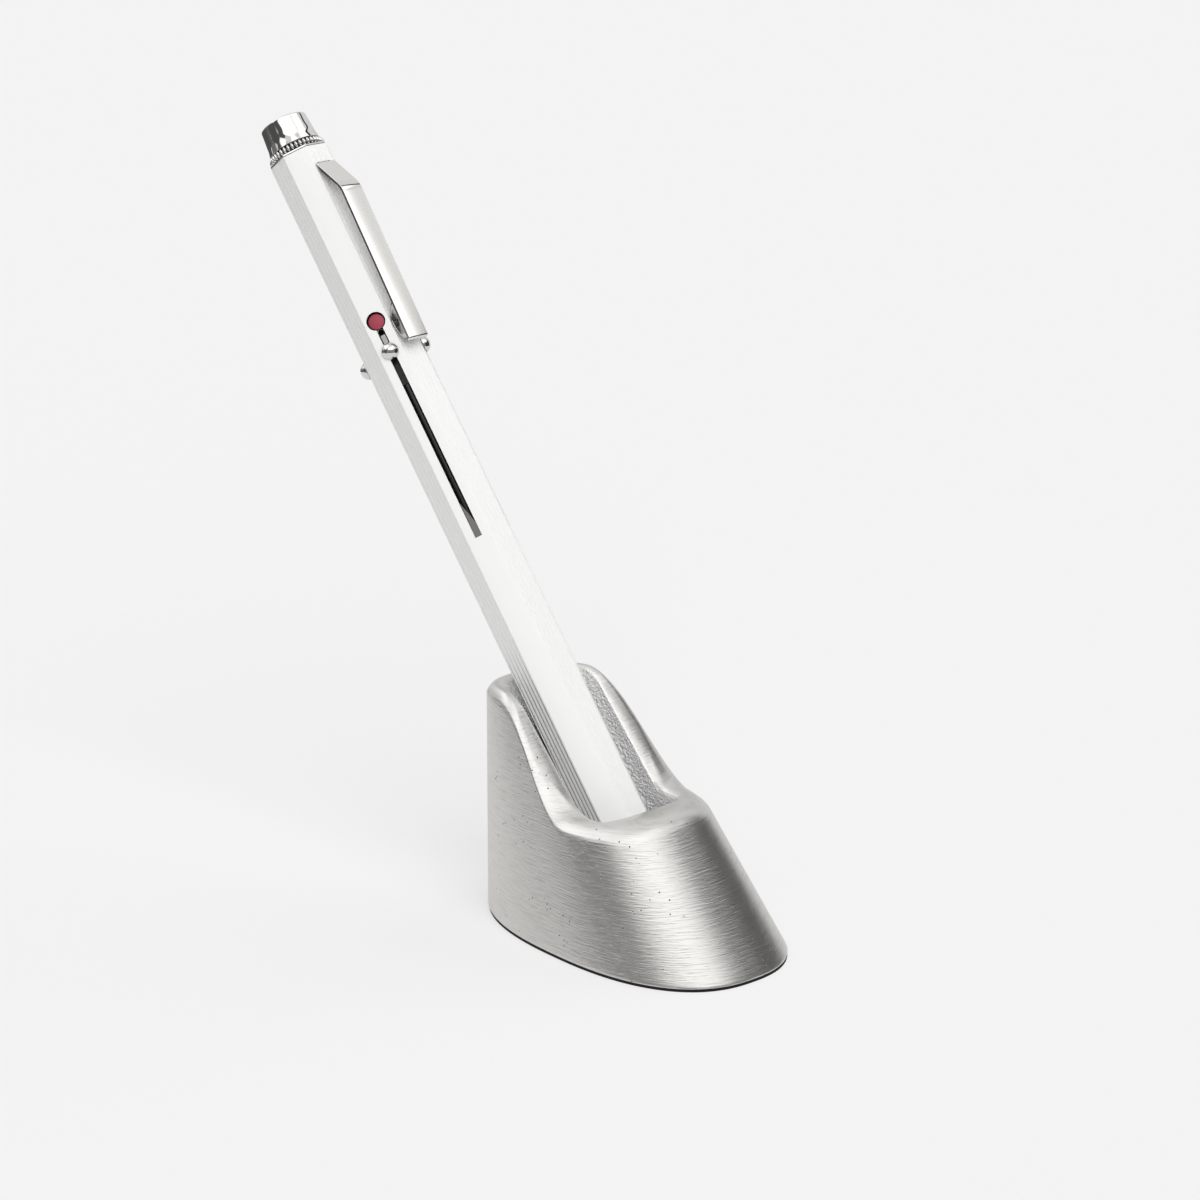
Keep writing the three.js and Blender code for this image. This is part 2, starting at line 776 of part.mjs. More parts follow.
// Least clear distance between parts of the spring that are more than half a curl apart
function springSelfGap() {
  const path = springPath();
  let least = Infinity;
  for (let i = 0; i < path.length; i += 1) {
    for (let j = i + stepsPerCurl / 2 + 1; j < path.length; j += 1) {
      least = Math.min(least, path[i].distanceTo(path[j]) - springWire);
    }
  }
  return least;
}

function marker() {
  const disc = new THREE.CylinderGeometry(
    windowRadius - holeGap,
    windowRadius - holeGap,
    markerThickness,
    20,
  );
  disc.translate(0, -(facetHeight - markerSunk - markerThickness / 2), windowAt);
  return disc;
}

// Clip: side view in station and height, one sheet from the root over the bend to the folded foot
function clipProfile() {
  const low = facetHeight + clipGap;
  const bend = clipRoot - clipRamp;
  const bendHeight = facetHeight + clipRise;
  const rampSlope = (bendHeight - low - clipRootEdge) / clipRamp;
  const stripSlope = (clipRise - clipEndRise) / (clipLength - clipRamp);
  const outer = (station) => facetHeight + clipEndRise + stripSlope * (station - clipEnd);
  const under = (station) => outer(station) - clipThickness;
  const profile = new THREE.Shape();
  profile.moveTo(clipRoot, low);
  profile.lineTo(clipRoot, low + clipRootEdge);
  profile.lineTo(bend + clipBend, bendHeight - rampSlope * clipBend);
  profile.quadraticCurveTo(bend, bendHeight, bend - clipBend, outer(bend - clipBend));
  profile.lineTo(clipEnd, outer(clipEnd));
  profile.quadraticCurveTo(
    clipEnd - clipRoll,
    outer(clipEnd),
    clipEnd - clipRoll,
    under(clipEnd),
  );
  profile.bezierCurveTo(
    clipEnd - clipRoll / 4,
    low + clipThickness,
    clipEnd + clipFootLow / 2,
    low,
    clipEnd + clipFootLow,
    low,
  );
  profile.quadraticCurveTo(
    clipEnd + (clipFootLow + 0.7 * clipFootJoin) / 1.7,
    low,
    clipEnd + clipFootJoin,
    under(clipEnd + clipFootJoin),
  );
  profile.lineTo(bend - clipBend, under(bend - clipBend));
  profile.quadraticCurveTo(
    bend - 0.4 * clipBend,
    under(bend),
    bend + 0.6 * clipBend,
    bendHeight - 0.6 * rampSlope * clipBend - clipThickness / Math.cos(Math.atan(rampSlope)),
  );
  profile.lineTo(clipRoot - clipThickness / Math.sin(Math.atan(rampSlope)), low);
  profile.closePath();

  const fold = new THREE.Path();
  const foldEnd = clipEnd + clipFootJoin - 1.5 * clipFootSheet;
  fold.moveTo(clipEnd + clipFootSheet / 2, under(clipEnd));
  fold.bezierCurveTo(
    clipEnd + clipFootSheet,
    low + clipThickness + clipFootSheet,
    clipEnd + clipFootLow / 2,
    low + clipFootSheet,
    clipEnd + clipFootLow,
    low + clipFootSheet,
  );
  fold.quadraticCurveTo(
    clipEnd + (clipFootLow + foldEnd - clipEnd) / 2,
    low + clipFootSheet,
    foldEnd,
    under(foldEnd),
  );
  fold.closePath();
  profile.holes.push(fold);
  return profile;
}

// Clip: the sheet at its full width, with a hooked tab through the barrel's wall
function clip() {
  const strip = new THREE.ExtrudeGeometry(clipProfile(), {
    depth: clipWidth,
    bevelEnabled: false,
    curveSegments: 5,
  });
  strip.translate(0, 0, -clipWidth / 2);
  // station to +Z, height to -Y, width to X
  strip.applyMatrix4(new THREE.Matrix4().set(
    0, 0, 1, 0,
    0, -1, 0, 0,
    1, 0, 0, 0,
    0, 0, 0, 1,
  ));
  const tabInner = boreRadius - seatGap - clipHookThickness;
  const hookOuter = boreRadius - 1.3 * seatGap;
  const tabLow = clipRoot - clipTabThickness;
  const half = clipTabWidth / 2;
  const sunk = clipGap + clipRootEdge / 2; // the tab starts inside the root's sheet
  return solid(strip)
    .add(solid(block([-half, -(facetHeight + sunk), tabLow], [half, -tabInner, clipRoot])))
    .add(solid(block([-half, -hookOuter, tabLow - clipHookLength], [half, -tabInner, clipRoot])));
}

const penRest = new THREE.Group();
place(penRest, 'rest_body', restBody(), finishes.castMetal);
place(penRest, 'base_pad', basePad(), finishes.padRubber);

// In the pen's own frame the nose tip is the origin, +Z runs to the cap and the clip is on -Y
const pen = new THREE.Group();
pen.position.copy(penFoot).addScaledVector(penLine, noseStart);
pen.position.z += padThickness;
pen.rotation.set(-lean, 0, THREE.MathUtils.degToRad(penRoll));
penRest.add(pen);

place(pen, 'barrel', barrel(), finishes.whitePaint);
place(pen, 'nose_cone', noseCone(), finishes.chrome);
capStack(pen);
place(pen, 'clip', clip(), finishes.satinSteel);
const guideReach = refillSpread(guideStart + guideThickness, travel);
place(
  pen,
  'refill_guide',
  extruded(lanePlug(guideReach), guideStart, guideStart + guideThickness, 12),
  finishes.innerPlastic,
);
place(pen, 'catch_block', catchBlock(), finishes.steel);
place(pen, 'spring_anchor', springAnchor(), finishes.steel);

eachSlot(pen, (lane, colour) => {
  place(lane, `knob_${colour}`, knob(), finishes.chrome);
  place(lane, `carriage_${colour}`, carriage(), finishes.innerPlastic);
  const tube = place(lane, `refill_${colour}`, refill(), finishes.refillTube);
  tube.position.set(0, -pointSpread, refillTip);
  tube.rotation.x = refillSlant;
  place(lane, `return_spring_${colour}`, returnSpring(), finishes.steel);
  place(lane, `marker_${colour}`, marker(), finishes[colour]);
});

console.log(`least gap between curls of a return spring: ${springSelfGap().toFixed(2)} mm`);

export default penRest;
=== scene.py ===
import bpy
import bmesh
import math
from mathutils import Matrix, Vector


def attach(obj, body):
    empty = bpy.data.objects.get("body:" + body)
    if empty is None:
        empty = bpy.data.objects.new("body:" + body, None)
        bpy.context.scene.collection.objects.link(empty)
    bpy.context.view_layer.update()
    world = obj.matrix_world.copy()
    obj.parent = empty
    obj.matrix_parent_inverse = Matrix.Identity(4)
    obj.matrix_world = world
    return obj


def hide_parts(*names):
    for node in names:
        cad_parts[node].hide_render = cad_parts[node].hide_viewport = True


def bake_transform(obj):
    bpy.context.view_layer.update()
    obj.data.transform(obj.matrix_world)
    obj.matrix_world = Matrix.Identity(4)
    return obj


# Cast desk rest and the four-colour slide pen that stands in it.
# Sizes in the dictionaries are in millimetres unless their name says otherwise.
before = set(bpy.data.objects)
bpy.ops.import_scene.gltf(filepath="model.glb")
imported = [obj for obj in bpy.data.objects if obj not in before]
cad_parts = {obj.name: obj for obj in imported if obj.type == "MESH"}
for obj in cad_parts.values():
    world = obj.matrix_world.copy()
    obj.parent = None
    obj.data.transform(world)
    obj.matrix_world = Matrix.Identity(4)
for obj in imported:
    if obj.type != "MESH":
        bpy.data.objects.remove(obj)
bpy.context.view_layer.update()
mm = 0.001
print("frame loaded:", len(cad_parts), "nodes")


def linear(hexColour):
    # sRGB hex to the linear colour that shaders use
    values = [int(hexColour[i:i + 2], 16) / 255 for i in (1, 3, 5)]
    return [v / 12.92 if v <= 0.04045 else ((v + 0.055) / 1.055) ** 2.4 for v in values] + [1.0]


def feed(tree, node, inputs):
    # an input is a value, a socket to link from, a node whose first output is linked,
    # or a tuple that holds some of these, which becomes a vector
    linked = (bpy.types.Node, bpy.types.NodeSocket)
    for key, value in inputs.items():
        if isinstance(value, tuple) and any(isinstance(part, linked) for part in value):
            value = addNode(tree, "ShaderNodeCombineXYZ", dict(enumerate(value)))
        if isinstance(value, bpy.types.Node):
            value = value.outputs[0]
        if isinstance(value, bpy.types.NodeSocket):
            tree.links.new(value, node.inputs[key])
        else:
            node.inputs[key].default_value = value


def addNode(tree, kind, inputs=None, **settings):
    # one node with its links and settings
    node = tree.nodes.new(kind)
    for key, value in settings.items():
        setattr(node, key, value)
    feed(tree, node, inputs or {})
    return node


def emptyTree(name, holder):
    # a material or world whose nodes are still to come
    block = holder.new(name)
    block.use_nodes = True
    block.node_tree.nodes.clear()
    return block, block.node_tree


def newMaterial(name, colour, metallic, roughness, more=None):
    # a Principled surface; returns the material, its tree and its shader
    material, tree = emptyTree(name, bpy.data.materials)
    values = {"Base Color": linear(colour), "Metallic": metallic, "Roughness": roughness}
    shader = addNode(tree, "ShaderNodeBsdfPrincipled", {**values, **(more or {})})
    addNode(tree, "ShaderNodeOutputMaterial", {"Surface": shader})
    material.diffuse_color = linear(colour)
    return material, tree, shader


# Where the pen stands

penPlace = {
    "leanDegrees": 40.389,
    "rollDegrees": 3.1,
    "lineFront": 9.33,  # where the pen's line meets the casting's underside, in front of the middle
    "noseStart": 9.0,  # nose tip, along the line
    "padThickness": 0.4,
    "firstSlotDegrees": -45.0,  # from the clip, towards +X
}
lean = math.radians(penPlace["leanDegrees"])


# Materials

castLook = {
    "metal": "#d6d4d1",
    "line": "#c9c7c4",  # floor of a deeper brush line
    "pit": "#3c3a38",
    "roughness": 0.36,
    "scratchAcross": 0.22,  # spacing of the brush lines, up the wall; drawn coarser than real ones
    "scratchAlong": 3.6,  # and how far one runs round the wall
    "scratchDepth": 0.05,
    "wander": 9.0,  # length over which a line wanders up and down
    "drift": 0.3,  # and how far
    "smallPits": (0.8, 0.1, 0.18, 0.3),  # size of a cell, core and edge of its pit, share that hold one
    "largePits": (5.0, 0.035, 0.05, 0.5),
    "grain": 0.44,  # pebbles of the cast skin in the well
    "grainDepth": 0.45,
    "wellRoughness": 0.42,
    "wellSkin": "#ffffff",
    "wellShadeColour": "#3b3a38",  # painted shade, drawn far down in the well
    "wellMetallic": 0.5,  # the oxide skin from the mould scatters light
}


def pitField(tree, place, size, core, edge, share):
    # 1 inside a pit; only some of the cells hold one, and these lie in loose groups
    cells = addNode(tree, "ShaderNodeTexVoronoi", {
        "Vector": place, "Scale": 1 / (size * mm), "Randomness": 1.0}, feature="F1")
    near = addNode(tree, "ShaderNodeMapRange", {
        "Value": cells.outputs["Distance"], "From Min": core, "From Max": edge, "To Min": 1.0, "To Max": 0.0})
    chance = addNode(tree, "ShaderNodeSeparateColor", {"Color": cells.outputs["Color"]})
    groups = addNode(tree, "ShaderNodeTexNoise", {
        "Vector": place, "Scale": 1 / (8 * size * mm), "Detail": 0.0})
    limit = addNode(tree, "ShaderNodeMapRange", {
        "Value": groups, "From Min": 0.48, "From Max": 0.62, "To Min": 0.0, "To Max": share})
    few = addNode(tree, "ShaderNodeMath", {0: chance, 1: limit}, operation="LESS_THAN")
    return addNode(tree, "ShaderNodeMath", {0: near, 1: few}, operation="MULTIPLY")


def brushedCastMetal():
    # cast aluminium, brushed round by hand on the outside and bare from the mould in the well:
    # fine level lines that smear the reflections, small dark pits, coarse pebbles inside, and painted shade
    # far down in the well
    look = castLook
    material, tree, shader = newMaterial("brushedCastAluminium", look["metal"], 1.0, look["roughness"])
    place = addNode(tree, "ShaderNodeTexCoord").outputs["Object"]
    inside = addNode(tree, "ShaderNodeAttribute", attribute_name="wellShare").outputs["Fac"]
    # share of painted shade in the well, larger further below the rim
    deep = addNode(tree, "ShaderNodeAttribute", attribute_name="wellDepth").outputs["Fac"]
    along = 1 / (look["scratchAlong"] * mm)
    across = 1 / (look["scratchAcross"] * mm)
    wander = addNode(tree, "ShaderNodeTexNoise", {
        "Vector": place, "Scale": 1 / (look["wander"] * mm), "Detail": 1.0})
    drift = addNode(tree, "ShaderNodeMapRange", {
        "Value": wander, "To Min": -look["drift"] * mm, "To Max": look["drift"] * mm})
    moved = addNode(tree, "ShaderNodeVectorMath", {0: place, 1: (0.0, 0.0, drift)}, operation="ADD")
    stretched = addNode(tree, "ShaderNodeMapping", {"Vector": moved, "Scale": (along, along, across)})
    scratches = addNode(tree, "ShaderNodeTexNoise", {
        "Vector": stretched, "Scale": 1.0, "Detail": 2.0, "Roughness": 0.65})
    pebbles = addNode(tree, "ShaderNodeTexNoise", {
        "Vector": place, "Scale": 1 / (look["grain"] * mm), "Detail": 2.0, "Roughness": 0.5})
    pitted = addNode(tree, "ShaderNodeMath", {
        0: pitField(tree, place, *look["smallPits"]),
        1: pitField(tree, place, *look["largePits"])}, operation="MAXIMUM")
    lined = addNode(tree, "ShaderNodeMapRange", {
        "Value": scratches, "From Min": 0.5, "From Max": 0.3, "To Min": 0.0, "To Max": 1.0})
    worn = addNode(tree, "ShaderNodeMix", {
        "Factor": lined, "A": linear(look["metal"]), "B": linear(look["line"])}, data_type="RGBA")
    # the well's skin, turning to painted shade far down
    well = addNode(tree, "ShaderNodeMix", {
        "Factor": deep, "A": linear(look["wellSkin"]), "B": linear(look["wellShadeColour"])}, data_type="RGBA")
    skin = addNode(tree, "ShaderNodeMix", {
        "Factor": inside, "A": worn.outputs["Result"], "B": well.outputs["Result"]}, data_type="RGBA")
    colour = addNode(tree, "ShaderNodeMix", {
        "Factor": pitted, "A": skin.outputs["Result"], "B": linear(look["pit"])}, data_type="RGBA")
    metal = addNode(tree, "ShaderNodeMix", {
        "Factor": inside, "A": 1.0, "B": look["wellMetallic"]}, data_type="FLOAT")
    rough = addNode(tree, "ShaderNodeMix", {
        "Factor": inside, "A": look["roughness"], "B": look["wellRoughness"]}, data_type="FLOAT")
    sunk = addNode(tree, "ShaderNodeMath", {0: scratches, 1: pitted}, operation="SUBTRACT")
    relief = addNode(tree, "ShaderNodeMix", {"Factor": inside, "A": sunk, "B": pebbles}, data_type="FLOAT")
    depth = addNode(tree, "ShaderNodeMapRange", {
        "Value": inside, "To Min": look["scratchDepth"] * mm, "To Max": look["grainDepth"] * mm})
    bump = addNode(tree, "ShaderNodeBump", {
        "Strength": 1.0, "Height": relief.outputs["Result"], "Distance": depth})
    feed(tree, shader, {"Base Color": colour.outputs["Result"], "Metallic": metal.outputs["Result"],
                        "Roughness": rough.outputs["Result"], "Normal": bump})
    return material


def fineGrained(name, colour, metallic, roughness, spacing, depth, detail, more=None):
    # a surface whose own fine grain softens what it reflects; spacing and depth of the grain in mm
    material, tree, shader = newMaterial(name, colour, metallic, roughness, more)
    place = addNode(tree, "ShaderNodeTexCoord").outputs["Object"]
    grain = addNode(tree, "ShaderNodeTexNoise", {
        "Vector": place, "Scale": 1 / (spacing * mm), "Detail": detail})
    bump = addNode(tree, "ShaderNodeBump", {"Strength": 1.0, "Height": grain, "Distance": depth * mm})
    feed(tree, shader, {"Normal": bump})
    return material


# painted shade in the flutes fades from low to high, in mm along the pen's line
fluteShadeLook = {"lightShade": "#e0dfdd", "deepShade": "#7a7976", "shadeLow": 37.0, "shadeHigh": 50.0, "roughness": 0.4}


def enamelWithShadeInFlutes():
    # the same enamel inside a flute, greyed as painted shade; where the pen sits in the rest, the painted
    # shade is deeper
    look = fluteShadeLook
    material, tree, shader = newMaterial("greyedEnamelInFlutes", look["lightShade"], 0.0, look["roughness"])
    place = addNode(tree, "ShaderNodeTexCoord").outputs["Object"]
    along = addNode(tree, "ShaderNodeVectorMath", {
        0: place, 1: (0.0, math.sin(lean), math.cos(lean))}, operation="DOT_PRODUCT").outputs["Value"]
    fluteShade = addNode(tree, "ShaderNodeMapRange", {
        "Value": along, "From Min": look["shadeLow"] * mm,
        "From Max": look["shadeHigh"] * mm}, interpolation_type="SMOOTHSTEP")
    colour = addNode(tree, "ShaderNodeMix", {
        "Factor": fluteShade, "A": linear(look["deepShade"]), "B": linear(look["lightShade"])}, data_type="RGBA")
    feed(tree, shader, {"Base Color": colour.outputs["Result"]})
    return material


castMetal = brushedCastMetal()
# white enamel, sprayed and baked on brass tube: satin gloss, very faint orange peel
whiteEnamel = fineGrained("whiteEnamel", "#eaeae9", 0.0, 0.3, 0.6, 0.0015, 1.0,
                          {"Coat Weight": 0.25, "Coat Roughness": 0.12})
fluteShadeEnamel = enamelWithShadeInFlutes()
# chrome plate over polished brass: a dark, sharp mirror
chromePlate = newMaterial("chromePlate", "#d7d6d4", 1.0, 0.045)[0]
# stainless spring steel, tumbled: the clip's outer face is satin, its cut edges are polished
satinSteel = fineGrained("satinSpringSteel", "#deddda", 1.0, 0.17, 0.12, 0.0006, 3.0)
polishedSteel = newMaterial("polishedSpringSteel", "#dad8d5", 1.0, 0.08)[0]
# near-black steel as painted shade in the gaps of the grip ring and on the wall of a window's hole
darkenedSteel = newMaterial("darkenedSteel", "#2e2d2c", 1.0, 0.5)[0]
# turned and milled steel of the inner parts, plain from the tool: softened by its fine tool marks
machinedSteel = fineGrained("machinedSteel", "#a8a6a1", 1.0, 0.36, 0.09, 0.003, 3.0)
# hardened catch, dark from its heat treatment
catchSteel = fineGrained("hardenedCatchSteel", "#74726e", 1.0, 0.3, 0.09, 0.003, 3.0)
# nylon carriages and guide, moulded, dull black
mouldedNylon = newMaterial("mouldedNylon", "#1b1b1c", 0.0, 0.45)[0]
# refill tube: extruded black polypropylene, smooth with a soft sheen
refillTube = newMaterial("blackRefillTube", "#121313", 0.0, 0.22)[0]
# writing end: turned nickel silver, a warm bright metal
nickelPoint = newMaterial("nickelSilverPoint", "#cfc9bb", 1.0, 0.16)[0]
# thin foam rubber pad, matt black
padRubber = newMaterial("blackFoamRubber", "#0d0d0d", 0.0, 0.85)[0]
# pad-printed colour discs, matt lacquer
markerColours = {"red": "#9c3b4c", "blue": "#33539c", "green": "#2f7d55", "black": "#262628"}
markerLacquer = {name: newMaterial(name + "MarkerLacquer", value, 0.0, 0.5)[0]
                 for name, value in markerColours.items()}
print("materials made:", len(bpy.data.materials))


# Frames and mesh helpers

penLine = Vector((0, math.sin(lean), math.cos(lean)))
penBack = Vector((0, math.cos(lean), -math.sin(lean)))
penFoot = Vector((0, -penPlace["lineFront"], 0))
noseTip = penFoot + penLine * penPlace["noseStart"] + Vector((0, 0, penPlace["padThickness"]))
penFrame = (Matrix.Translation(noseTip * mm) @ Matrix.Rotation(-lean, 4, "X")
            @ Matrix.Rotation(math.radians(penPlace["rollDegrees"]), 4, "Z") @ Matrix.Scale(mm, 4))
restFrame = Matrix.Translation((0, 0, penPlace["padThickness"] * mm)) @ Matrix.Scale(mm, 4)
colours = list(markerColours)
laneFrames = {colour: penFrame @ Matrix.Rotation(math.radians(penPlace["firstSlotDegrees"] + 90 * i), 4, "Z")
              for i, colour in enumerate(colours)}


def placed(name, data):
    # an object in the scene, at the origin
    made = bpy.data.objects.new(name, data)
    bpy.context.scene.collection.objects.link(made)
    return made


def meshFrom(name, points, faces):
    mesh = bpy.data.meshes.new(name)
    mesh.from_pydata([tuple(p) for p in points], [], faces)
    mesh.validate()
    return mesh


def tidyMesh(mesh):
    # merges doubles and turns every face outwards
    work = bmesh.new()
    work.from_mesh(mesh)
    bmesh.ops.remove_doubles(work, verts=work.verts, dist=1e-4)
    bmesh.ops.recalc_face_normals(work, faces=work.faces)
    work.to_mesh(mesh)
    work.free()


def shownPiece(name, mesh, place, materials, sharpDegrees=30):
    # a mesh in millimetres becomes an object at the origin with its place in the mesh
    mesh.transform(place)
    mesh.shade_smooth()
    mesh.set_sharp_from_angle(angle=math.radians(sharpDegrees))
    for material in materials:
        mesh.materials.append(material)
    return placed(name, mesh)


def bevelEdges(piece, width, segments=2, degrees=30):
    # small rounding of the crisp edges, so that they catch the light
    bevel = piece.modifiers.new("edgeRounding", "BEVEL")
    bevel.width = width * mm
    bevel.segments = segments
    bevel.limit_method = "ANGLE"
    bevel.angle_limit = math.radians(degrees)
    bevel.harden_normals = True


def standFor(piece, body, node):
    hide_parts(node)
    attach(piece, body)
    return piece


def turnedMesh(name, profile, steps):
    # profile of (radius, station) pairs, turned about the pen's line; ends on the line close
    points, faces, rings = [], [], []
    for radius, station in profile:
        first = len(points)
        if radius < 1e-6:
            rings.append([first])
            points.append((0, 0, station))
        else:
            rings.append(list(range(first, first + steps)))
            for i in range(steps):
                turn = 2 * math.pi * i / steps
                points.append((radius * math.cos(turn), radius * math.sin(turn), station))
    pairs = list(zip(rings, rings[1:]))
    if len(rings[0]) > 1 and len(rings[-1]) > 1:
        pairs.append((rings[-1], rings[0]))
    for low, high in pairs:
        for i in range(steps):
            j = (i + 1) % steps
            corners = [low[i % len(low)], low[j % len(low)], high[j % len(high)], high[i % len(high)]]
            faces.append(list(dict.fromkeys(corners)))
    mesh = meshFrom(name, points, [f for f in faces if len(f) > 2])
    tidyMesh(mesh)
    return mesh


def curveThrough(start, corner, end, steps):
    # points of a soft corner, both ends included
    shares = [i / steps for i in range(steps + 1)]
    return [start * (1 - t) ** 2 + corner * (2 * t * (1 - t)) + end * t * t for t in shares]


def cubic(a, b, c, d, steps):
    # points of a cubic curve, without its start
    shares = [i / steps for i in range(1, steps + 1)]
    return [a * (1 - t) ** 3 + b * (3 * (1 - t) ** 2 * t) + c * (3 * (1 - t) * t * t) + d * t ** 3
            for t in shares]


def prismMesh(name, outline, low, high):
    # outline of (x, y) pairs drawn up from station low to high
    count = len(outline)
    points = [(x, y, low) for x, y in outline] + [(x, y, high) for x, y in outline]
    faces = [list(range(count))[::-1], list(range(count, 2 * count))]
    faces += [[i, (i + 1) % count, count + (i + 1) % count, count + i] for i in range(count)]
    return meshFrom(name, points, faces)


def boxInto(work, low, high):
    middle = [(a + b) / 2 for a, b in zip(low, high)]
    size = [b - a for a, b in zip(low, high)]
    place = Matrix.Translation(middle) @ Matrix.Diagonal((*size, 1))
    return bmesh.ops.create_cube(work, size=1.0, matrix=place)


def newTree(name, sizes):
    # a Geometry Nodes tree with its named inputs; returns the tree and the input sockets
    kinds = {int: "NodeSocketInt", float: "NodeSocketFloat", type(None): "NodeSocketObject"}
    tree = bpy.data.node_groups.new(name, "GeometryNodeTree")
    tree.interface.new_socket("Geometry", in_out="INPUT", socket_type="NodeSocketGeometry")
    for label, value in sizes.items():
        socket = tree.interface.new_socket(label, in_out="INPUT", socket_type=kinds[type(value)])
        if value is not None:
            socket.default_value = value
    tree.interface.new_socket("Geometry", in_out="OUTPUT", socket_type="NodeSocketGeometry")
    return tree, tree.nodes.new("NodeGroupInput").outputs


def endTree(tree, shape, material):
    real = addNode(tree, "GeometryNodeRealizeInstances", {"Geometry": shape})
    painted = addNode(tree, "GeometryNodeSetMaterial", {"Geometry": real, "Material": material})
    addNode(tree, "NodeGroupOutput", {"Geometry": painted})
    return tree


def aroundPen(tree, shape, firstTurn, count):
    # copies of a shape round the pen's line, evenly spaced
    spots = addNode(tree, "GeometryNodePoints", {"Count": count})
    index = addNode(tree, "GeometryNodeInputIndex")
    share = addNode(tree, "ShaderNodeMath", {0: index, 1: count}, operation="DIVIDE")
    turn = addNode(tree, "ShaderNodeMath", {0: share, 1: 2 * math.pi, 2: firstTurn}, operation="MULTIPLY_ADD")
    return addNode(tree, "GeometryNodeInstanceOnPoints", {
        "Points": spots, "Instance": shape, "Rotation": (0.0, 0.0, turn)})


def shapeAt(tree, kind, sizes, place, **more):
    # a plain shape moved to its place
    shape = addNode(tree, kind, sizes)
    return addNode(tree, "GeometryNodeTransform", {"Geometry": shape, "Translation": place, **more})


def grown(mesh, tree, values):
    # runs a Geometry Nodes tree on a mesh and returns the plain result
    holder = placed(mesh.name + "Holder", mesh)
    modifier = holder.modifiers.new("grown", "NODES")
    modifier.node_group = tree
    for item in tree.interface.items_tree:
        if item.item_type == "SOCKET" and item.in_out == "INPUT" and item.name in values:
            modifier[item.identifier] = values[item.name]
    view = bpy.context.evaluated_depsgraph_get()
    result = bpy.data.meshes.new_from_object(holder.evaluated_get(view))
    # the bare mesh leaves an empty first slot, so the piece gets its full list of finishes afresh
    result.materials.clear()
    holder.modifiers.remove(modifier)
    bpy.data.objects.remove(holder)
    return result


def mixed(a, b, share):
    return a + (b - a) * share


def clamped(value):
    return min(max(value, 0), 1)


def eased(value):
    share = clamped(value)
    return share * share * (3 - 2 * share)


def bent(value, power):
    return math.copysign(abs(value) ** power, value)


# Rest: one casting, an oval that shrinks and moves back as it rises, cut by the S of its rim

restSizes = {
    "footLength": 55.0, "footWidth": 34.6, "footSquareness": 2.42, "footEdge": 0.45,
    "crownHeight": 40.0, "crownLength": 23.0, "crownWidth": 18.6, "crownSquareness": 2.5, "crownAhead": 5.4,
    "lowRim": 20.2, "rimRise": 15.5, "riseStart": 2.9, "riseLength": 19.0,
    "frontLipStart": -1.0, "frontLipCurl": 0.034, "backSlopeStart": 22.0, "backSlopeFall": 0.02,
    "lipWidth": 2.7, "lipDrop": 1.3, "lipCrest": 1.1, "mouthSoftness": 1.9,
    "frontLipDrop": 2.6, "frontLipWidth": 3.8, "frontMouthSoftness": 0.8,
    "frontFrom": 0.5, "frontOver": 0.45,  # the front lip takes over, by the sine of the angle
    "wellHalfWidth": 7.9, "wellFront": 7.6, "wellSquareness": 5.0, "wellBack": 5.2,
    "wellFloor": 8.7, "floorRound": 1.6, "pitRadius": 2.65, "pitDepth": 3.2,
    "steps": 288, "wallSteps": 26, "lipSteps": 14, "wellSteps": 20,
    "mouthPoints": 11, "skinAhead": 3, "skinPoints": 14,  # points over which the cast skin begins
    "paintedShadeFrom": 5.5, "paintedShadeOver": 5.0,  # how far below the rim the well turns dark with painted shade
}
facetHeight = 4.9
facetHalf = facetHeight * math.tan(math.pi / 8)


def rimHeight(y):
    s = restSizes
    climb = eased((y - s["riseStart"]) / s["riseLength"])
    lip = max(0, s["frontLipStart"] - y)
    back = max(0, y - s["backSlopeStart"])
    raised = s["lowRim"] + s["rimRise"] * climb
    return raised + s["frontLipCurl"] * lip * lip - s["backSlopeFall"] * back * back


def outerWall(angle, height):
    s = restSizes
    share = height / s["crownHeight"]
    crownY = s["crownHeight"] * math.tan(lean) - penPlace["lineFront"] - s["crownAhead"]
    power = 2 / mixed(s["footSquareness"], s["crownSquareness"], share)
    width = mixed(s["footWidth"], s["crownWidth"], share)
    length = mixed(s["footLength"], s["crownLength"], share)
    return Vector((bent(math.cos(angle), power) * width / 2,
                   crownY * share + bent(math.sin(angle), power) * length / 2, height))


def wellWall(angle, along):
    # an oval, squarer in its front half
    s = restSizes
    corner = facetHalf + facetHeight * math.sin(math.radians(penPlace["rollDegrees"]))
    k = math.sqrt(1 - (corner / s["wellHalfWidth"]) ** 2)
    halfDepth = (s["wellBack"] + s["wellFront"]) / (1 + k)
    power = 1 if math.sin(angle) > 0 else 2 / s["wellSquareness"]
    back = halfDepth * bent(math.sin(angle), power) - (s["wellFront"] - halfDepth)
    across = s["wellHalfWidth"] * bent(math.cos(angle), power)
    return penFoot + penLine * along + penBack * back + Vector((across, 0, 0))


def meetsRim(wallPoint, low, high):
    for _ in range(40):
        middle = (low + high) / 2
        point = wallPoint(middle)
        if point.z < rimHeight(point.y):
            low = middle
        else:
            high = middle
    return (low + high) / 2


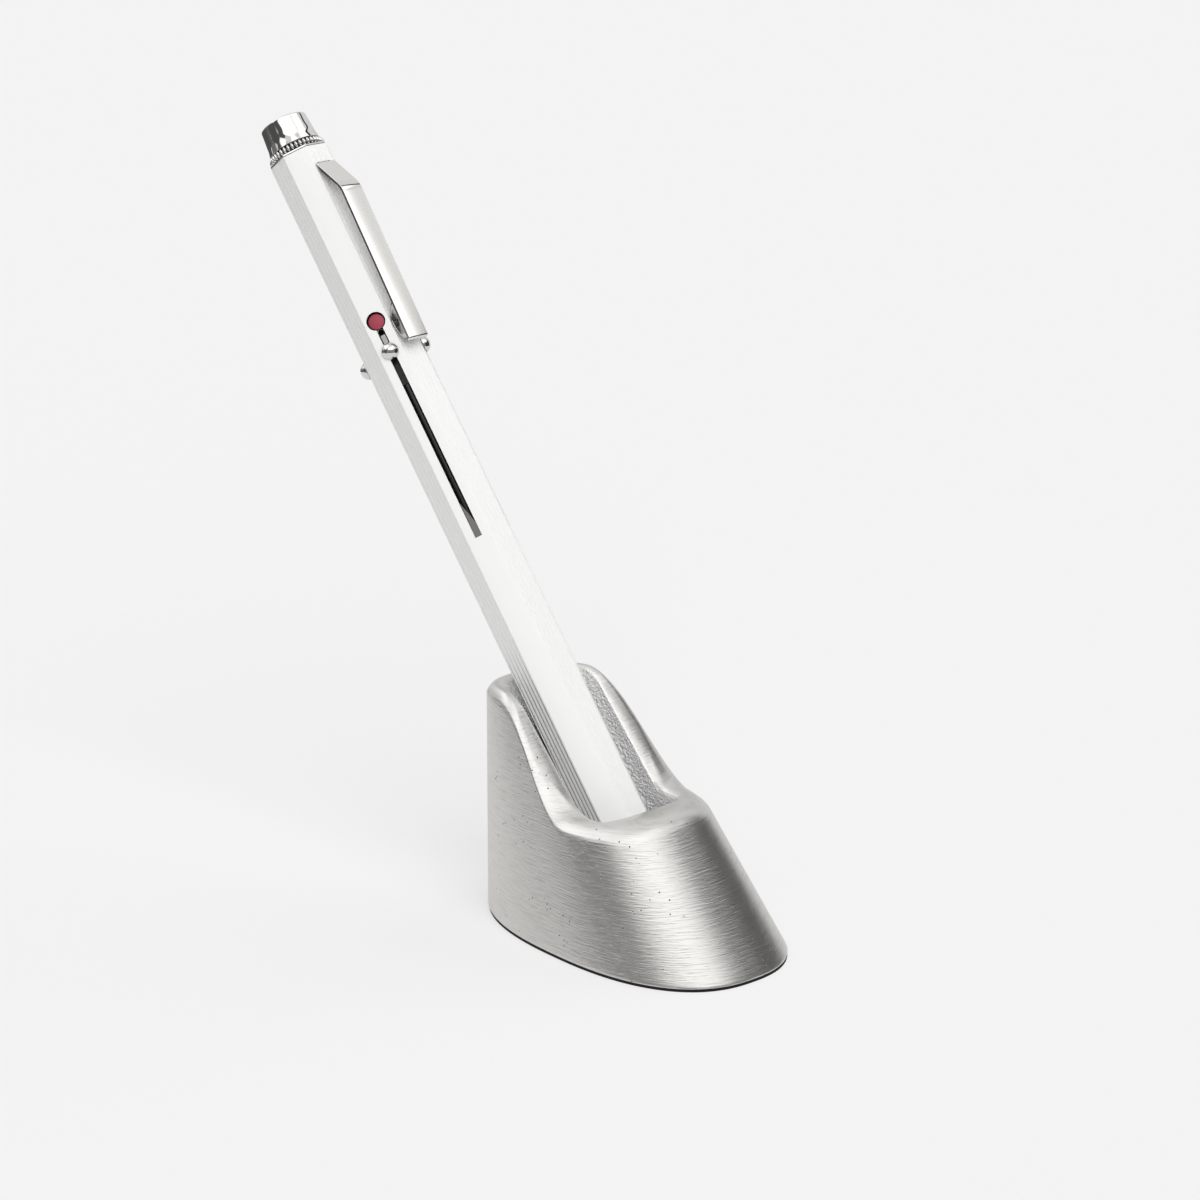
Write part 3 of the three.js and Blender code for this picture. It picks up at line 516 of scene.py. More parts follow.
def restSection(angle):
    # from the foot up the wall, over the lip and down into the well
    s = restSizes
    rimAt = meetsRim(lambda height: outerWall(angle, height), 0, 1.5 * s["crownHeight"])
    outer = outerWall(angle, rimAt)
    wellRim = meetsRim(lambda along: wellWall(angle, along), 0, 2 * s["crownHeight"])
    inner = wellWall(angle, wellRim)
    lip = inner - outer
    land = lip.normalized()
    front = eased((-math.sin(angle) - s["frontFrom"]) / s["frontOver"])
    mouthSoft = min(mixed(s["mouthSoftness"], s["frontMouthSoftness"], front), 0.45 * lip.length)
    across = mixed(min(s["lipWidth"], 0.5 * lip.length), s["frontLipWidth"], front)
    wallTop = rimAt - mixed(s["lipDrop"], s["frontLipDrop"], front)
    foot = outerWall(angle, 0)
    points = curveThrough(foot * (1 - s["footEdge"] / foot.length), foot, outerWall(angle, s["footEdge"]), 5)
    points += [outerWall(angle, mixed(s["footEdge"], wallTop, i / s["wallSteps"]))
               for i in range(1, s["wallSteps"])]
    landStart = outer + land * across
    landEnd = inner - land * mouthSoft
    crest = outer + land * min(s["lipCrest"], across / 2) * (1 - front)
    points += curveThrough(outerWall(angle, wallTop), crest, landStart, s["lipSteps"])
    points += [landStart.lerp(landEnd, i / 3) for i in range(1, 3)]
    mouth = wellRim - mouthSoft
    points += curveThrough(landEnd, inner, wellWall(angle, mouth), s["lipSteps"])
    outside = len(points) - s["mouthPoints"]
    low = s["wellFloor"] + s["floorRound"]
    points += [wellWall(angle, mixed(mouth, low, i / s["wellSteps"])) for i in range(1, s["wellSteps"])]
    floorRim = wellWall(angle, s["wellFloor"])
    inwards = (penFoot + penLine * s["wellFloor"] - floorRim).normalized()
    points += curveThrough(wellWall(angle, low), floorRim, floorRim + inwards * s["floorRound"], 6)
    for along in (s["wellFloor"], s["wellFloor"] - s["pitDepth"]):
        points.append(penFoot + penLine * along + penBack * (s["pitRadius"] * math.sin(angle))
                      + Vector((s["pitRadius"] * math.cos(angle), 0, 0)))
    return points, outside


def buildRest():
    s = restSizes
    steps = s["steps"]
    sections = [restSection(2 * math.pi * i / steps) for i in range(steps)]
    count, outside = len(sections[0][0]), sections[0][1]
    points = [p for section, _ in sections for p in section]
    points.append(Vector((0, 0, 0)))
    points.append(penFoot + penLine * (s["wellFloor"] - s["pitDepth"]))
    faces = []
    for i in range(steps):
        here, there = i * count, ((i + 1) % steps) * count
        faces.append([len(points) - 2, there, here])
        faces += [[here + k, there + k, there + k + 1, here + k + 1] for k in range(count - 1)]
        faces.append([len(points) - 1, here + count - 1, there + count - 1])
    mesh = meshFrom("restCasting", points, faces)
    share = mesh.attributes.new("wellShare", "FLOAT", "POINT")
    # painted shade: the well is drawn darker further below its rim
    depth = mesh.attributes.new("wellDepth", "FLOAT", "POINT")
    for i, spot in enumerate(points[:-2]):
        k = i % count
        below = rimHeight(spot.y) - spot.z
        share.data[i].value = clamped((k - outside + s["skinAhead"]) / s["skinPoints"])
        depth.data[i].value = clamped((below - s["paintedShadeFrom"]) / s["paintedShadeOver"]) if k > outside else 0
    piece = shownPiece("restCasting", mesh, restFrame, [castMetal], 50)
    return standFor(piece, "rest", "rest_body")


padSizes = {"inset": 0.2, "steps": 216}  # set back a little from the casting's edge


def buildPad():
    outline = []
    for i in range(padSizes["steps"]):
        foot = outerWall(2 * math.pi * i / padSizes["steps"], 0)
        foot *= 1 - padSizes["inset"] / foot.length
        outline.append((foot.x, foot.y))
    mesh = prismMesh("footPad", outline, 0, penPlace["padThickness"])
    return standFor(shownPiece("footPad", mesh, Matrix.Scale(mm, 4), [padRubber]), "rest", "base_pad")


restCasting = buildRest()
footPad = buildPad()
print("rest made:", len(restCasting.data.polygons), "faces")


# Pen: barrel, eight flat sides with every second one fluted, slots and round windows

barrelSizes = {
    "start": 9.3, "length": 123.9, "cornerRound": 0.16, "bore": 4.15,
    # flutes on a side; the enamel has filled them to a shallow depth
    "grooves": 5, "groovePitch": 0.8, "grooveWidth": 0.24, "grooveDepth": 0.04,
    "slotWidth": 1.15, "slotEnd": 62.5, "window": 101.7, "windowRadius": 1.55,
    "tabWidth": 2.7, "tabLow": 128.75, "tabHigh": 130.05,
    "cutHeight": 4.6, "cutDepth": 3.0,  # middle and depth of the cutters that go through the wall
}


def barrelOutline():
    s = barrelSizes
    outline = []
    for facet in range(8):
        # the corner that follows this facet, rounded
        turn = 2 * math.pi * facet / 8
        middle = turn + math.pi / 8
        reach = (facetHeight - s["cornerRound"]) / math.cos(math.pi / 8)
        centre = Vector((reach * math.sin(middle), -reach * math.cos(middle)))
        for i in range(5):
            bend = turn + math.pi / 4 * i / 4
            outline.append(tuple(centre + s["cornerRound"] * Vector((math.sin(bend), -math.cos(bend)))))
    return outline


def barrelTree():
    # cuts the bore, the flutes, the four slots with their windows, and the clip's opening
    s = barrelSizes
    firstTurn = math.radians(penPlace["firstSlotDegrees"])
    wallY, through = -s["cutHeight"], s["cutDepth"]
    tree, given = newTree("fluteAndSlotBarrel", {
        "Start": s["start"], "Length": s["length"], "Bore": s["bore"], "Flutes": s["grooves"],
        "Flute Pitch": s["groovePitch"], "Flute Height": 0.0, "Flute Radius": 0.13,
        "Slot Width": s["slotWidth"], "Slot End": s["slotEnd"], "Window": s["window"],
        "Window Radius": s["windowRadius"],
    })
    middle = addNode(tree, "ShaderNodeMath", {
        0: given["Length"], 1: 0.5, 2: given["Start"]}, operation="MULTIPLY_ADD")
    longer = addNode(tree, "ShaderNodeMath", {0: given["Length"], 1: 2.0}, operation="ADD")
    bore = shapeAt(tree, "GeometryNodeMeshCylinder", {
        "Vertices": 64, "Radius": given["Bore"], "Depth": longer}, (0.0, 0.0, middle))

    rod = addNode(tree, "GeometryNodeMeshCylinder", {
        "Vertices": 10, "Radius": given["Flute Radius"], "Depth": longer})
    gaps = addNode(tree, "ShaderNodeMath", {0: given["Flutes"], 1: 1.0}, operation="SUBTRACT")
    side = addNode(tree, "ShaderNodeMath", {0: gaps, 1: given["Flute Pitch"]}, operation="MULTIPLY")
    firstRod = addNode(tree, "ShaderNodeMath", {0: side, 1: -0.5}, operation="MULTIPLY")
    below = addNode(tree, "ShaderNodeMath", {0: given["Flute Height"], 1: -1.0}, operation="MULTIPLY")
    row = addNode(tree, "GeometryNodeMeshLine", {
        "Count": given["Flutes"], "Start Location": (firstRod, below, middle),
        "Offset": (given["Flute Pitch"], 0.0, 0.0)}, mode="OFFSET")
    flutes = addNode(tree, "GeometryNodeInstanceOnPoints", {"Points": row, "Instance": rod})

    slotLength = addNode(tree, "ShaderNodeMath", {
        0: given["Window"], 1: given["Slot End"]}, operation="SUBTRACT")
    slotMiddle = addNode(tree, "ShaderNodeMath", {
        0: slotLength, 1: 0.5, 2: given["Slot End"]}, operation="MULTIPLY_ADD")
    slot = shapeAt(tree, "GeometryNodeMeshCube", {"Size": (given["Slot Width"], through, slotLength)},
                   (0.0, wallY, slotMiddle))
    hole = shapeAt(tree, "GeometryNodeMeshCylinder", {
        "Vertices": 48, "Radius": given["Window Radius"], "Depth": through},
        (0.0, wallY, given["Window"]), Rotation=(math.pi / 2, 0.0, 0.0))
    tabSize = (s["tabWidth"], through, s["tabHigh"] - s["tabLow"])
    tab = shapeAt(tree, "GeometryNodeMeshCube", {"Size": tabSize},
                  (0.0, wallY, (s["tabHigh"] + s["tabLow"]) / 2))
    cut = addNode(tree, "GeometryNodeMeshBoolean", {
        0: given["Geometry"]}, operation="DIFFERENCE", solver="EXACT")
    for cutter in (bore, aroundPen(tree, flutes, 0.0, 4), aroundPen(tree, slot, firstTurn, 4),
                   aroundPen(tree, hole, firstTurn, 4), tab):
        feed(tree, cut, {1: addNode(tree, "GeometryNodeRealizeInstances", {"Geometry": cutter})})
    return endTree(tree, cut, whiteEnamel)


def facetAxes(turn):
    # the ways out of the barrel and across it, at a turn about the pen's line
    return (Vector((math.sin(turn), -math.cos(turn), 0)), Vector((math.cos(turn), math.sin(turn), 0)))


def inSideFlute(face):
    # true for the faces inside the flutes of the two side facets, which get the painted shade
    s = barrelSizes
    facet = round(math.atan2(face.center.x, -face.center.y) / (math.pi / 4))
    out, across = facetAxes(facet * math.pi / 4)
    height = face.center.dot(out)
    deep = facetHeight - s["grooveDepth"] - 0.01 < height < facetHeight - 0.25 * s["grooveDepth"]
    among = abs(face.center.dot(across)) < s["grooves"] * s["groovePitch"] / 2
    return abs(facet) == 2 and deep and among and face.normal.dot(out) > 0.3


def inWindowWall(face):
    # true for the faces of a round window's hole, which get painted shade
    s = barrelSizes
    first = penPlace["firstSlotDegrees"]
    lane = round((math.degrees(math.atan2(face.center.x, -face.center.y)) - first) / 90)
    out, across = facetAxes(math.radians(first + 90 * lane))
    near = math.hypot(face.center.dot(across), face.center.z - s["window"])
    return abs(near - s["windowRadius"]) < 0.03 and abs(face.normal.dot(out)) < 0.2


def buildBarrel():
    s = barrelSizes
    # a rod of this radius, sunk this far, leaves a flute of the wanted width and depth
    radius = ((s["grooveWidth"] / 2) ** 2 + s["grooveDepth"] ** 2) / (2 * s["grooveDepth"])
    blank = prismMesh("penBarrel", barrelOutline(), s["start"], s["start"] + s["length"])
    tidyMesh(blank)
    mesh = grown(blank, barrelTree(), {
        "Flute Radius": radius, "Flute Height": facetHeight + radius - s["grooveDepth"]})
    finishes = [1 if inSideFlute(face) else 2 if inWindowWall(face) else 0 for face in mesh.polygons]
    piece = shownPiece("penBarrel", mesh, penFrame, [whiteEnamel, fluteShadeEnamel, darkenedSteel], 25)
    for face, finish in zip(piece.data.polygons, finishes):
        face.material_index = finish
    bevelEdges(piece, 0.05, 2, 40)
    return standFor(piece, "pen", "barrel")


penBarrel = buildBarrel()
print("barrel made:", len(penBarrel.data.polygons), "faces")


# Pen: nose, cap, toothed ring and plate

noseSizes = {
    "length": 9.2, "tipRadius": 3.15, "opening": 2.5, "shoulder": 4.75, "edge": 0.2,
    "collar": 0.6, "wall": 0.5, "throat": 3.0, "spigot": 5.5, "spigotRadius": 3.85, "spigotInner": 3.45,
    "threads": 8, "threadStart": 0.9, "threadPitch": 0.5, "threadDepth": 0.14,
}


def buildNose():
    s = noseSizes
    slope = (s["shoulder"] - s["tipRadius"]) / s["length"]
    boreFoot = min((s["spigotInner"] + s["wall"] - s["tipRadius"]) / slope, s["length"])
    profile = [
        (s["opening"], 0.0), (s["tipRadius"] - s["edge"], 0.0),
        (s["tipRadius"] - 0.35 * s["edge"], 0.1 * s["edge"]), (s["tipRadius"], s["edge"]),
        (s["shoulder"] - 0.06, s["length"] - s["collar"] - 0.3), (s["shoulder"], s["length"] - s["collar"]),
        (s["shoulder"], s["length"]), (s["spigotRadius"], s["length"]),
    ]
    # rolled thread on the spigot, drawn as plain rings
    for i in range(s["threads"]):
        station = s["length"] + s["threadStart"] + i * s["threadPitch"]
        profile += [(s["spigotRadius"] - s["threadDepth"], station), (s["spigotRadius"], station + 0.2),
                    (s["spigotRadius"], station + 0.3)]
    profile += [
        (s["spigotRadius"], s["length"] + s["spigot"]), (s["spigotInner"], s["length"] + s["spigot"]),
        (s["spigotInner"], boreFoot),
        (s["tipRadius"] + slope * s["throat"] - s["wall"], s["throat"]), (s["opening"], s["wall"]),
    ]
    piece = shownPiece("noseCone", turnedMesh("noseCone", profile, 96), penFrame, [chromePlate], 35)
    bevelEdges(piece, 0.04)
    return standFor(piece, "nose", "nose_cone")


capSizes = {
    "barrelTop": 133.2, "gap": 0.1, "spigot": 1.9, "spigotRadius": 3.85,
    "plateThickness": 0.3, "plateAcross": 9.7, "plateHole": 4.0,
    "ringHeight": 1.25, "ringRadius": 4.85, "ringCore": 4.5, "beads": 40, "beadDepth": 0.5, "beadWidth": 0.3,
    "height": 4.85, "foot": 4.5, "top": 3.98, "hollow": 0.07, "edge": 0.25, "footEdge": 0.06,
    "drawIn": 0.05, "drawInAt": 0.3, "drawInOver": 0.15,  # at and over as shares of the height
}


def buildPlate():
    s = capSizes
    low = s["barrelTop"] + s["gap"]
    corner = s["plateAcross"] / 2 / math.cos(math.pi / 8)
    turns = [(i + 0.5) * math.pi / 4 for i in range(8)]
    mesh = prismMesh("capPlate", [(corner * math.cos(turn), corner * math.sin(turn)) for turn in turns],
                     low, low + s["plateThickness"])
    tree, given = newTree("drillPlate", {"Hole": s["plateHole"]})
    drill = shapeAt(tree, "GeometryNodeMeshCylinder", {"Vertices": 64, "Radius": given["Hole"], "Depth": 4.0},
                    (0.0, 0.0, low))
    cut = addNode(tree, "GeometryNodeMeshBoolean", {
        0: given["Geometry"], 1: drill}, operation="DIFFERENCE", solver="EXACT")
    mesh = grown(mesh, endTree(tree, cut, chromePlate), {"Hole": s["plateHole"]})
    piece = shownPiece("capPlate", mesh, penFrame, [chromePlate], 30)
    bevelEdges(piece, 0.06)
    return standFor(piece, "pen", "cap_plate")


def beadTree():
    # small oval beads side by side round the cap's grip ring
    s = capSizes
    tree, given = newTree("beadRing", {
        "Beads": s["beads"], "Ring Radius": s["ringRadius"], "Bead Depth": s["beadDepth"],
        "Bead Width": s["beadWidth"], "Bead Height": 0.6, "Station": 0.0,
    })
    reach = addNode(tree, "ShaderNodeMath", {
        0: given["Ring Radius"], 1: given["Bead Depth"]}, operation="SUBTRACT")
    size = (given["Bead Depth"], given["Bead Width"], given["Bead Height"])
    bead = shapeAt(tree, "GeometryNodeMeshUVSphere", {"Segments": 16, "Rings": 10, "Radius": 1.0},
                   (reach, 0.0, given["Station"]), Scale=size)
    beads = aroundPen(tree, bead, 0.0, given["Beads"])
    smooth = addNode(tree, "GeometryNodeSetShadeSmooth", {"Geometry": beads})
    joined = addNode(tree, "GeometryNodeJoinGeometry", {0: smooth})
    feed(tree, joined, {0: given["Geometry"]})
    return endTree(tree, joined, chromePlate)


def buildRing():
    s = capSizes
    low = s["barrelTop"] + 2 * s["gap"] + s["plateThickness"]
    high = low + s["ringHeight"]
    core = turnedMesh("gripRing", [(s["plateHole"], low), (s["ringCore"], low), (s["ringCore"], high),
                                   (s["plateHole"], high)], 96)
    mesh = grown(core, beadTree(), {"Station": (low + high) / 2, "Bead Height": s["ringHeight"] / 2})
    # the upright wall of the core shows between the beads, and gets painted shade
    inCore = {i for i, v in enumerate(mesh.vertices) if math.hypot(v.co.x, v.co.y) < s["ringCore"] + 0.001}
    inGaps = [all(i in inCore for i in face.vertices) and len(face.vertices) == 4
              and abs(face.normal.z) < 0.1 for face in mesh.polygons]
    piece = shownPiece("gripRing", mesh, penFrame, [chromePlate, darkenedSteel], 50)
    for face, gap in zip(piece.data.polygons, inGaps):
        face.material_index = 1 if gap else 0
    return standFor(piece, "cap", "cap_ring")


def buildCap():
    s = capSizes
    foot = s["barrelTop"] + 3 * s["gap"] + s["plateThickness"] + s["ringHeight"]
    top = foot + s["height"]
    sideFoot = foot + s["footEdge"]
    sideHeight = s["height"] - s["edge"] - s["footEdge"]
    profile = [(0.0, s["barrelTop"] - s["spigot"]), (s["spigotRadius"], s["barrelTop"] - s["spigot"]),
               (s["spigotRadius"], foot), (s["foot"] - 0.08, foot), (s["foot"], sideFoot)]
    for i in range(1, 17):
        # a straight cone drawn in at mid height, with its foot flaring out
        share = i / 16
        radius = mixed(s["foot"], s["top"], share) - 4 * s["hollow"] * share * (1 - share)
        radius -= s["drawIn"] * math.exp(-((share - s["drawInAt"]) / s["drawInOver"]) ** 2)
        profile.append((radius, sideFoot + sideHeight * share))
    for i in range(1, 6):
        bend = math.pi / 2 * i / 6
        profile.append((s["top"] - s["edge"] * (1 - math.cos(bend)), top - s["edge"] * (1 - math.sin(bend))))
    profile += [(s["top"] - s["edge"], top), (s["top"] * 0.6, top + 0.1 * s["edge"]),
                (0.0, top + 0.15 * s["edge"])]
    piece = shownPiece("screwCap", turnedMesh("screwCap", profile, 128), penFrame, [chromePlate], 35)
    return standFor(piece, "cap", "cap")


noseCone = buildNose()
capPlate = buildPlate()
gripRing = buildRing()
screwCap = buildCap()
print("nose, plate, ring and cap made")


# Pen: clip, one bent strip with a rolled end and a folded foot

clipSizes = {
    "width": 4.0, "thickness": 0.55, "root": 129.8, "ramp": 6.0, "length": 33.3, "rise": 3.5,
    "endRise": 2.48, "rootEdge": 0.2, "bend": 1.0, "roll": 0.4, "footLow": 3.8, "footJoin": 6.5,
    "footSheet": 0.35, "gap": 0.12, "edge": 0.17, "crown": 0.07,
    "tabWidth": 2.2, "tabThickness": 0.8, "hookLength": 1.4, "hookThickness": 0.6, "bore": 4.15, "seat": 0.3,
}


def clipOutlines():
    # side view in (station, height): the sheet's outline and the hollow of the folded foot
    s = clipSizes
    sheet, b = s["footSheet"], s["bend"]
    low = facetHeight + s["gap"]
    bend = s["root"] - s["ramp"]
    end = s["root"] - s["length"]
    bendHeight = facetHeight + s["rise"]
    rampSlope = (bendHeight - low - s["rootEdge"]) / s["ramp"]
    ramp = math.atan(rampSlope)
    stripSlope = (s["rise"] - s["endRise"]) / (s["length"] - s["ramp"])

    def outer(station):
        return facetHeight + s["endRise"] + stripSlope * (station - end)

    def under(station):
        return outer(station) - s["thickness"]

    def spot(station, height):
        return Vector((station, height))

    footLow = spot(end + s["footLow"], low)
    points = [spot(s["root"], low), spot(s["root"], low + s["rootEdge"])]
    points += curveThrough(spot(bend + b, bendHeight - rampSlope * b), spot(bend, bendHeight),
                           spot(bend - b, outer(bend - b)), 10)
    points.append(spot(end, outer(end)))
    points += curveThrough(points[-1], spot(end - s["roll"], outer(end)),
                           spot(end - s["roll"], under(end)), 10)[1:]
    points += cubic(points[-1], spot(end - s["roll"] / 4, low + s["thickness"]),
                    spot(end + s["footLow"] / 2, low), footLow, 16)
    join = end + s["footJoin"]
    points += curveThrough(footLow, spot(end + (s["footLow"] + 0.7 * s["footJoin"]) / 1.7, low),
                           spot(join, under(join)), 10)[1:]
    underRamp = bendHeight - 0.6 * rampSlope * b - s["thickness"] / math.cos(ramp)
    points += curveThrough(spot(bend - b, under(bend - b)), spot(bend - 0.4 * b, under(bend)),
                           spot(bend + 0.6 * b, underRamp), 8)
    points.append(spot(s["root"] - s["thickness"] / math.sin(ramp), low))

    foldEnd = join - 1.5 * sheet
    foldLow = spot(end + s["footLow"], low + sheet)
    fold = [spot(end + sheet / 2, under(end))]
    fold += cubic(fold[0], spot(end + sheet, low + s["thickness"] + sheet),
                  spot(end + s["footLow"] / 2, low + sheet), foldLow, 12)
    fold += curveThrough(foldLow, spot(end + (s["footLow"] + foldEnd - end) / 2, low + sheet),
                         spot(foldEnd, under(foldEnd)), 8)[1:]
    return points, fold


def clipSheet(name, spots, reach):
    # station to +Z, height to -Y, width to X
    mesh = prismMesh(name, [(-p.y, p.x) for p in spots], -reach, reach)
    mesh.transform(Matrix(((0, 0, 1, 0), (1, 0, 0, 0), (0, 1, 0, 0), (0, 0, 0, 1))))
    tidyMesh(mesh)
    return mesh


def buildClip():
    s = clipSizes
    outline, fold = clipOutlines()
    half = s["width"] / 2
    strip = clipSheet("pocketClip", outline, half)
    hollow = bpy.data.objects.new("clipHollow", clipSheet("clipHollow", fold, half + 1))
    tree, given = newTree("foldClipFoot", {"Hollow": None})
    cutter = addNode(tree, "GeometryNodeObjectInfo", {"Object": given["Hollow"]})
    cut = addNode(tree, "GeometryNodeMeshBoolean", {
        0: given["Geometry"], 1: cutter.outputs["Geometry"]}, operation="DIFFERENCE", solver="EXACT")
    mesh = grown(strip, endTree(tree, cut, polishedSteel), {"Hollow": hollow})
    bpy.data.objects.remove(hollow)
    # the outer face is slightly crowned across
    work = bmesh.new()
    work.from_mesh(mesh)
    for i in range(1, 8):
        whole = work.verts[:] + work.edges[:] + work.faces[:]
        bmesh.ops.bisect_plane(work, geom=whole, plane_co=(half * (i / 4 - 1), 0, 0), plane_no=(1, 0, 0))
    outside = {v for face in work.faces for v in face.verts
               if face.normal.y < -0.5 and face.calc_center_median().y < -(facetHeight + 1.2)}
    for v in outside:
        v.co.y -= s["crown"] * (1 - (v.co.x / half) ** 2)
    # tab and hook through the barrel's wall
    tabInner = s["bore"] - s["seat"] - s["hookThickness"]
    tabLow = s["root"] - s["tabThickness"]
    tabHalf = s["tabWidth"] / 2
    boxInto(work, (-tabHalf, -(facetHeight + s["gap"] + 0.1), tabLow), (tabHalf, -tabInner, s["root"] - 0.01))
    boxInto(work, (-tabHalf + 0.01, -(s["bore"] - 1.3 * s["seat"]), tabLow - s["hookLength"]),
            (tabHalf - 0.01, -tabInner - 0.01, tabLow + 0.1))
    work.to_mesh(mesh)
    work.free()
    # the outer face of the strip and of the ramp is satin, the bend and all else is polished
    for face in mesh.polygons:
        out = face.normal.y < -0.5 and face.center.y < -(facetHeight + 0.5)
        atBend = abs(face.center.z - s["root"] + s["ramp"]) < 0.98 * s["bend"]
        face.material_index = 1 if out and not atBend else 0
    piece = shownPiece("pocketClip", mesh, penFrame, [polishedSteel, satinSteel], 40)
    bevelEdges(piece, s["edge"], 3, 50)
    return standFor(piece, "clip", "clip")


pocketClip = buildClip()
print("clip made:", len(pocketClip.data.polygons), "faces")


# Pen: knobs, colour discs, refills and springs, once for each slot

knobSizes = {
    "at": 96.2, "radius": 1.5, "sunk": 0.25, "gap": 0.12, "stemWidth": 0.76, "stemLength": 0.9,
    "stemInner": 3.45, "tongueLength": 3.0, "tongueSunk": 0.25, "tongueDepth": 0.75,
}
discSizes = {"radius": 1.3, "sunk": 0.4, "thickness": 0.4, "at": 101.7, "edge": 0.08}
refillSizes = {
    "tip": 23.5, "length": 67.0, "radius": 1.15, "bore": 0.85, "boreDepth": 5.0, "point": 6.0,
    "needle": 2.5, "needleRadius": 0.55, "ball": 0.3, "ballLength": 0.25,
    "pointSpread": 1.72, "topSpread": 2.3,
}
springSizes = {
    "radius": 0.95, "wire": 0.3, "curls": 10.0, "foot": 99.4, "head": 125.5, "leg": 0.6, "spread": 2.3,
}


def turnedOutOfSlot(name, profile, steps, height, station):
    # turned about the line that points out of the slot
    mesh = turnedMesh(name, profile, steps)
    mesh.transform(Matrix.Translation((0, -height, station)) @ Matrix.Rotation(math.pi / 2, 4, "X"))
    return mesh


def buildKnob(colour):
    s = knobSizes
    centre = facetHeight - s["sunk"]
    headFoot = facetHeight + s["gap"]
    # dome: half round head cut flat just above the facet, its lower edge broken
    start = math.asin((headFoot - centre) / s["radius"])
    profile = [(0.0, s["radius"] * math.sin(start)),
               (s["radius"] * math.cos(start) - 0.06, s["radius"] * math.sin(start))]
    for i in range(25):
        bend = start + 0.05 + (math.pi / 2 - start - 0.05) * i / 24
        profile.append((s["radius"] * math.cos(bend) if i < 24 else 0.0, s["radius"] * math.sin(bend)))
    mesh = turnedOutOfSlot("knob", profile, 48, centre, s["at"])
    work = bmesh.new()
    work.from_mesh(mesh)
    half, tongueTop = s["stemWidth"] / 2, facetHeight - s["tongueSunk"]
    stem = boxInto(work, (-half, -headFoot - 0.3, s["at"] - s["stemLength"] / 2),
                   (half, -s["stemInner"], s["at"] + s["stemLength"] / 2))
    tongue = boxInto(work, (-half + 0.005, -tongueTop, s["at"]),
                     (half - 0.005, s["tongueDepth"] - tongueTop, s["at"] + s["tongueLength"]))
    plain = set(stem["verts"]) | set(tongue["verts"])
    for face in work.faces:
        face.material_index = 1 if all(v in plain for v in face.verts) else 0
    work.to_mesh(mesh)
    work.free()
    piece = shownPiece("slideKnob" + colour.capitalize(), mesh, laneFrames[colour],
                       [chromePlate, machinedSteel], 40)
    return standFor(piece, "slider_" + colour, "knob_" + colour)


def buildDisc(colour):
    s = discSizes
    high = s["thickness"]
    profile = [(0.0, 0.0), (s["radius"], 0.0), (s["radius"], high - s["edge"]),
               (s["radius"] - 0.3 * s["edge"], high - 0.3 * s["edge"]),
               (s["radius"] - s["edge"], high), (0.0, high)]
    mesh = turnedOutOfSlot("disc", profile, 64, facetHeight - s["sunk"] - s["thickness"], s["at"])
    piece = shownPiece("colourDisc" + colour.capitalize(), mesh, laneFrames[colour],
                       [markerLacquer[colour]], 35)
    return standFor(piece, "pen", "marker_" + colour)


def buildRefill(colour):
    s = refillSizes
    mesh = turnedMesh("refill", [
        (0.0, 0.0), (s["ball"] * 0.75, 0.06), (s["ball"], s["ballLength"]), (s["needleRadius"], s["needle"]),
        (s["needleRadius"] + 0.12, s["needle"] + 0.05), (s["radius"] - 0.12, s["point"] - 0.4),
        (s["radius"], s["point"]), (s["radius"], s["length"]), (s["bore"], s["length"]),
        (s["bore"], s["length"] - s["boreDepth"]), (0.0, s["length"] - s["boreDepth"]),
    ], 32)
    for face in mesh.polygons:
        face.material_index = 1 if face.center.z < s["point"] - 0.2 else 0
    slant = math.atan((s["topSpread"] - s["pointSpread"]) / s["length"])
    tip = laneFrames[colour] @ Matrix.Translation((0, -s["pointSpread"], s["tip"]))
    place = tip @ Matrix.Rotation(slant, 4, "X")
    piece = shownPiece("refill" + colour.capitalize(), mesh, place, [refillTube, nickelPoint], 40)
    return standFor(piece, "slider_" + colour, "refill_" + colour)


def springTree():
    # coil of round wire, added to the legs
    s = springSizes
    tree, given = newTree("returnSpring", {
        "Curls": s["curls"], "Radius": s["radius"], "Wire": s["wire"], "Height": 20.0,
        "Foot": s["foot"], "Leg": s["leg"],
    })
    up = addNode(tree, "ShaderNodeMath", {0: given["Foot"], 1: given["Leg"]}, operation="ADD")
    coil = shapeAt(tree, "GeometryNodeCurveSpiral", {
        "Resolution": 24, "Rotations": given["Curls"], "Start Radius": given["Radius"],
        "End Radius": given["Radius"], "Height": given["Height"]}, (0.0, 0.0, up))
    wire = addNode(tree, "ShaderNodeMath", {0: given["Wire"], 1: 0.5}, operation="MULTIPLY")
    ring = addNode(tree, "GeometryNodeCurvePrimitiveCircle", {"Resolution": 8, "Radius": wire})
    swept = addNode(tree, "GeometryNodeCurveToMesh", {
        "Curve": coil, "Profile Curve": ring, "Fill Caps": True})
    joined = addNode(tree, "GeometryNodeJoinGeometry", {0: swept})
    feed(tree, joined, {0: given["Geometry"]})
    return endTree(tree, joined, machinedSteel)


springMaker = springTree()


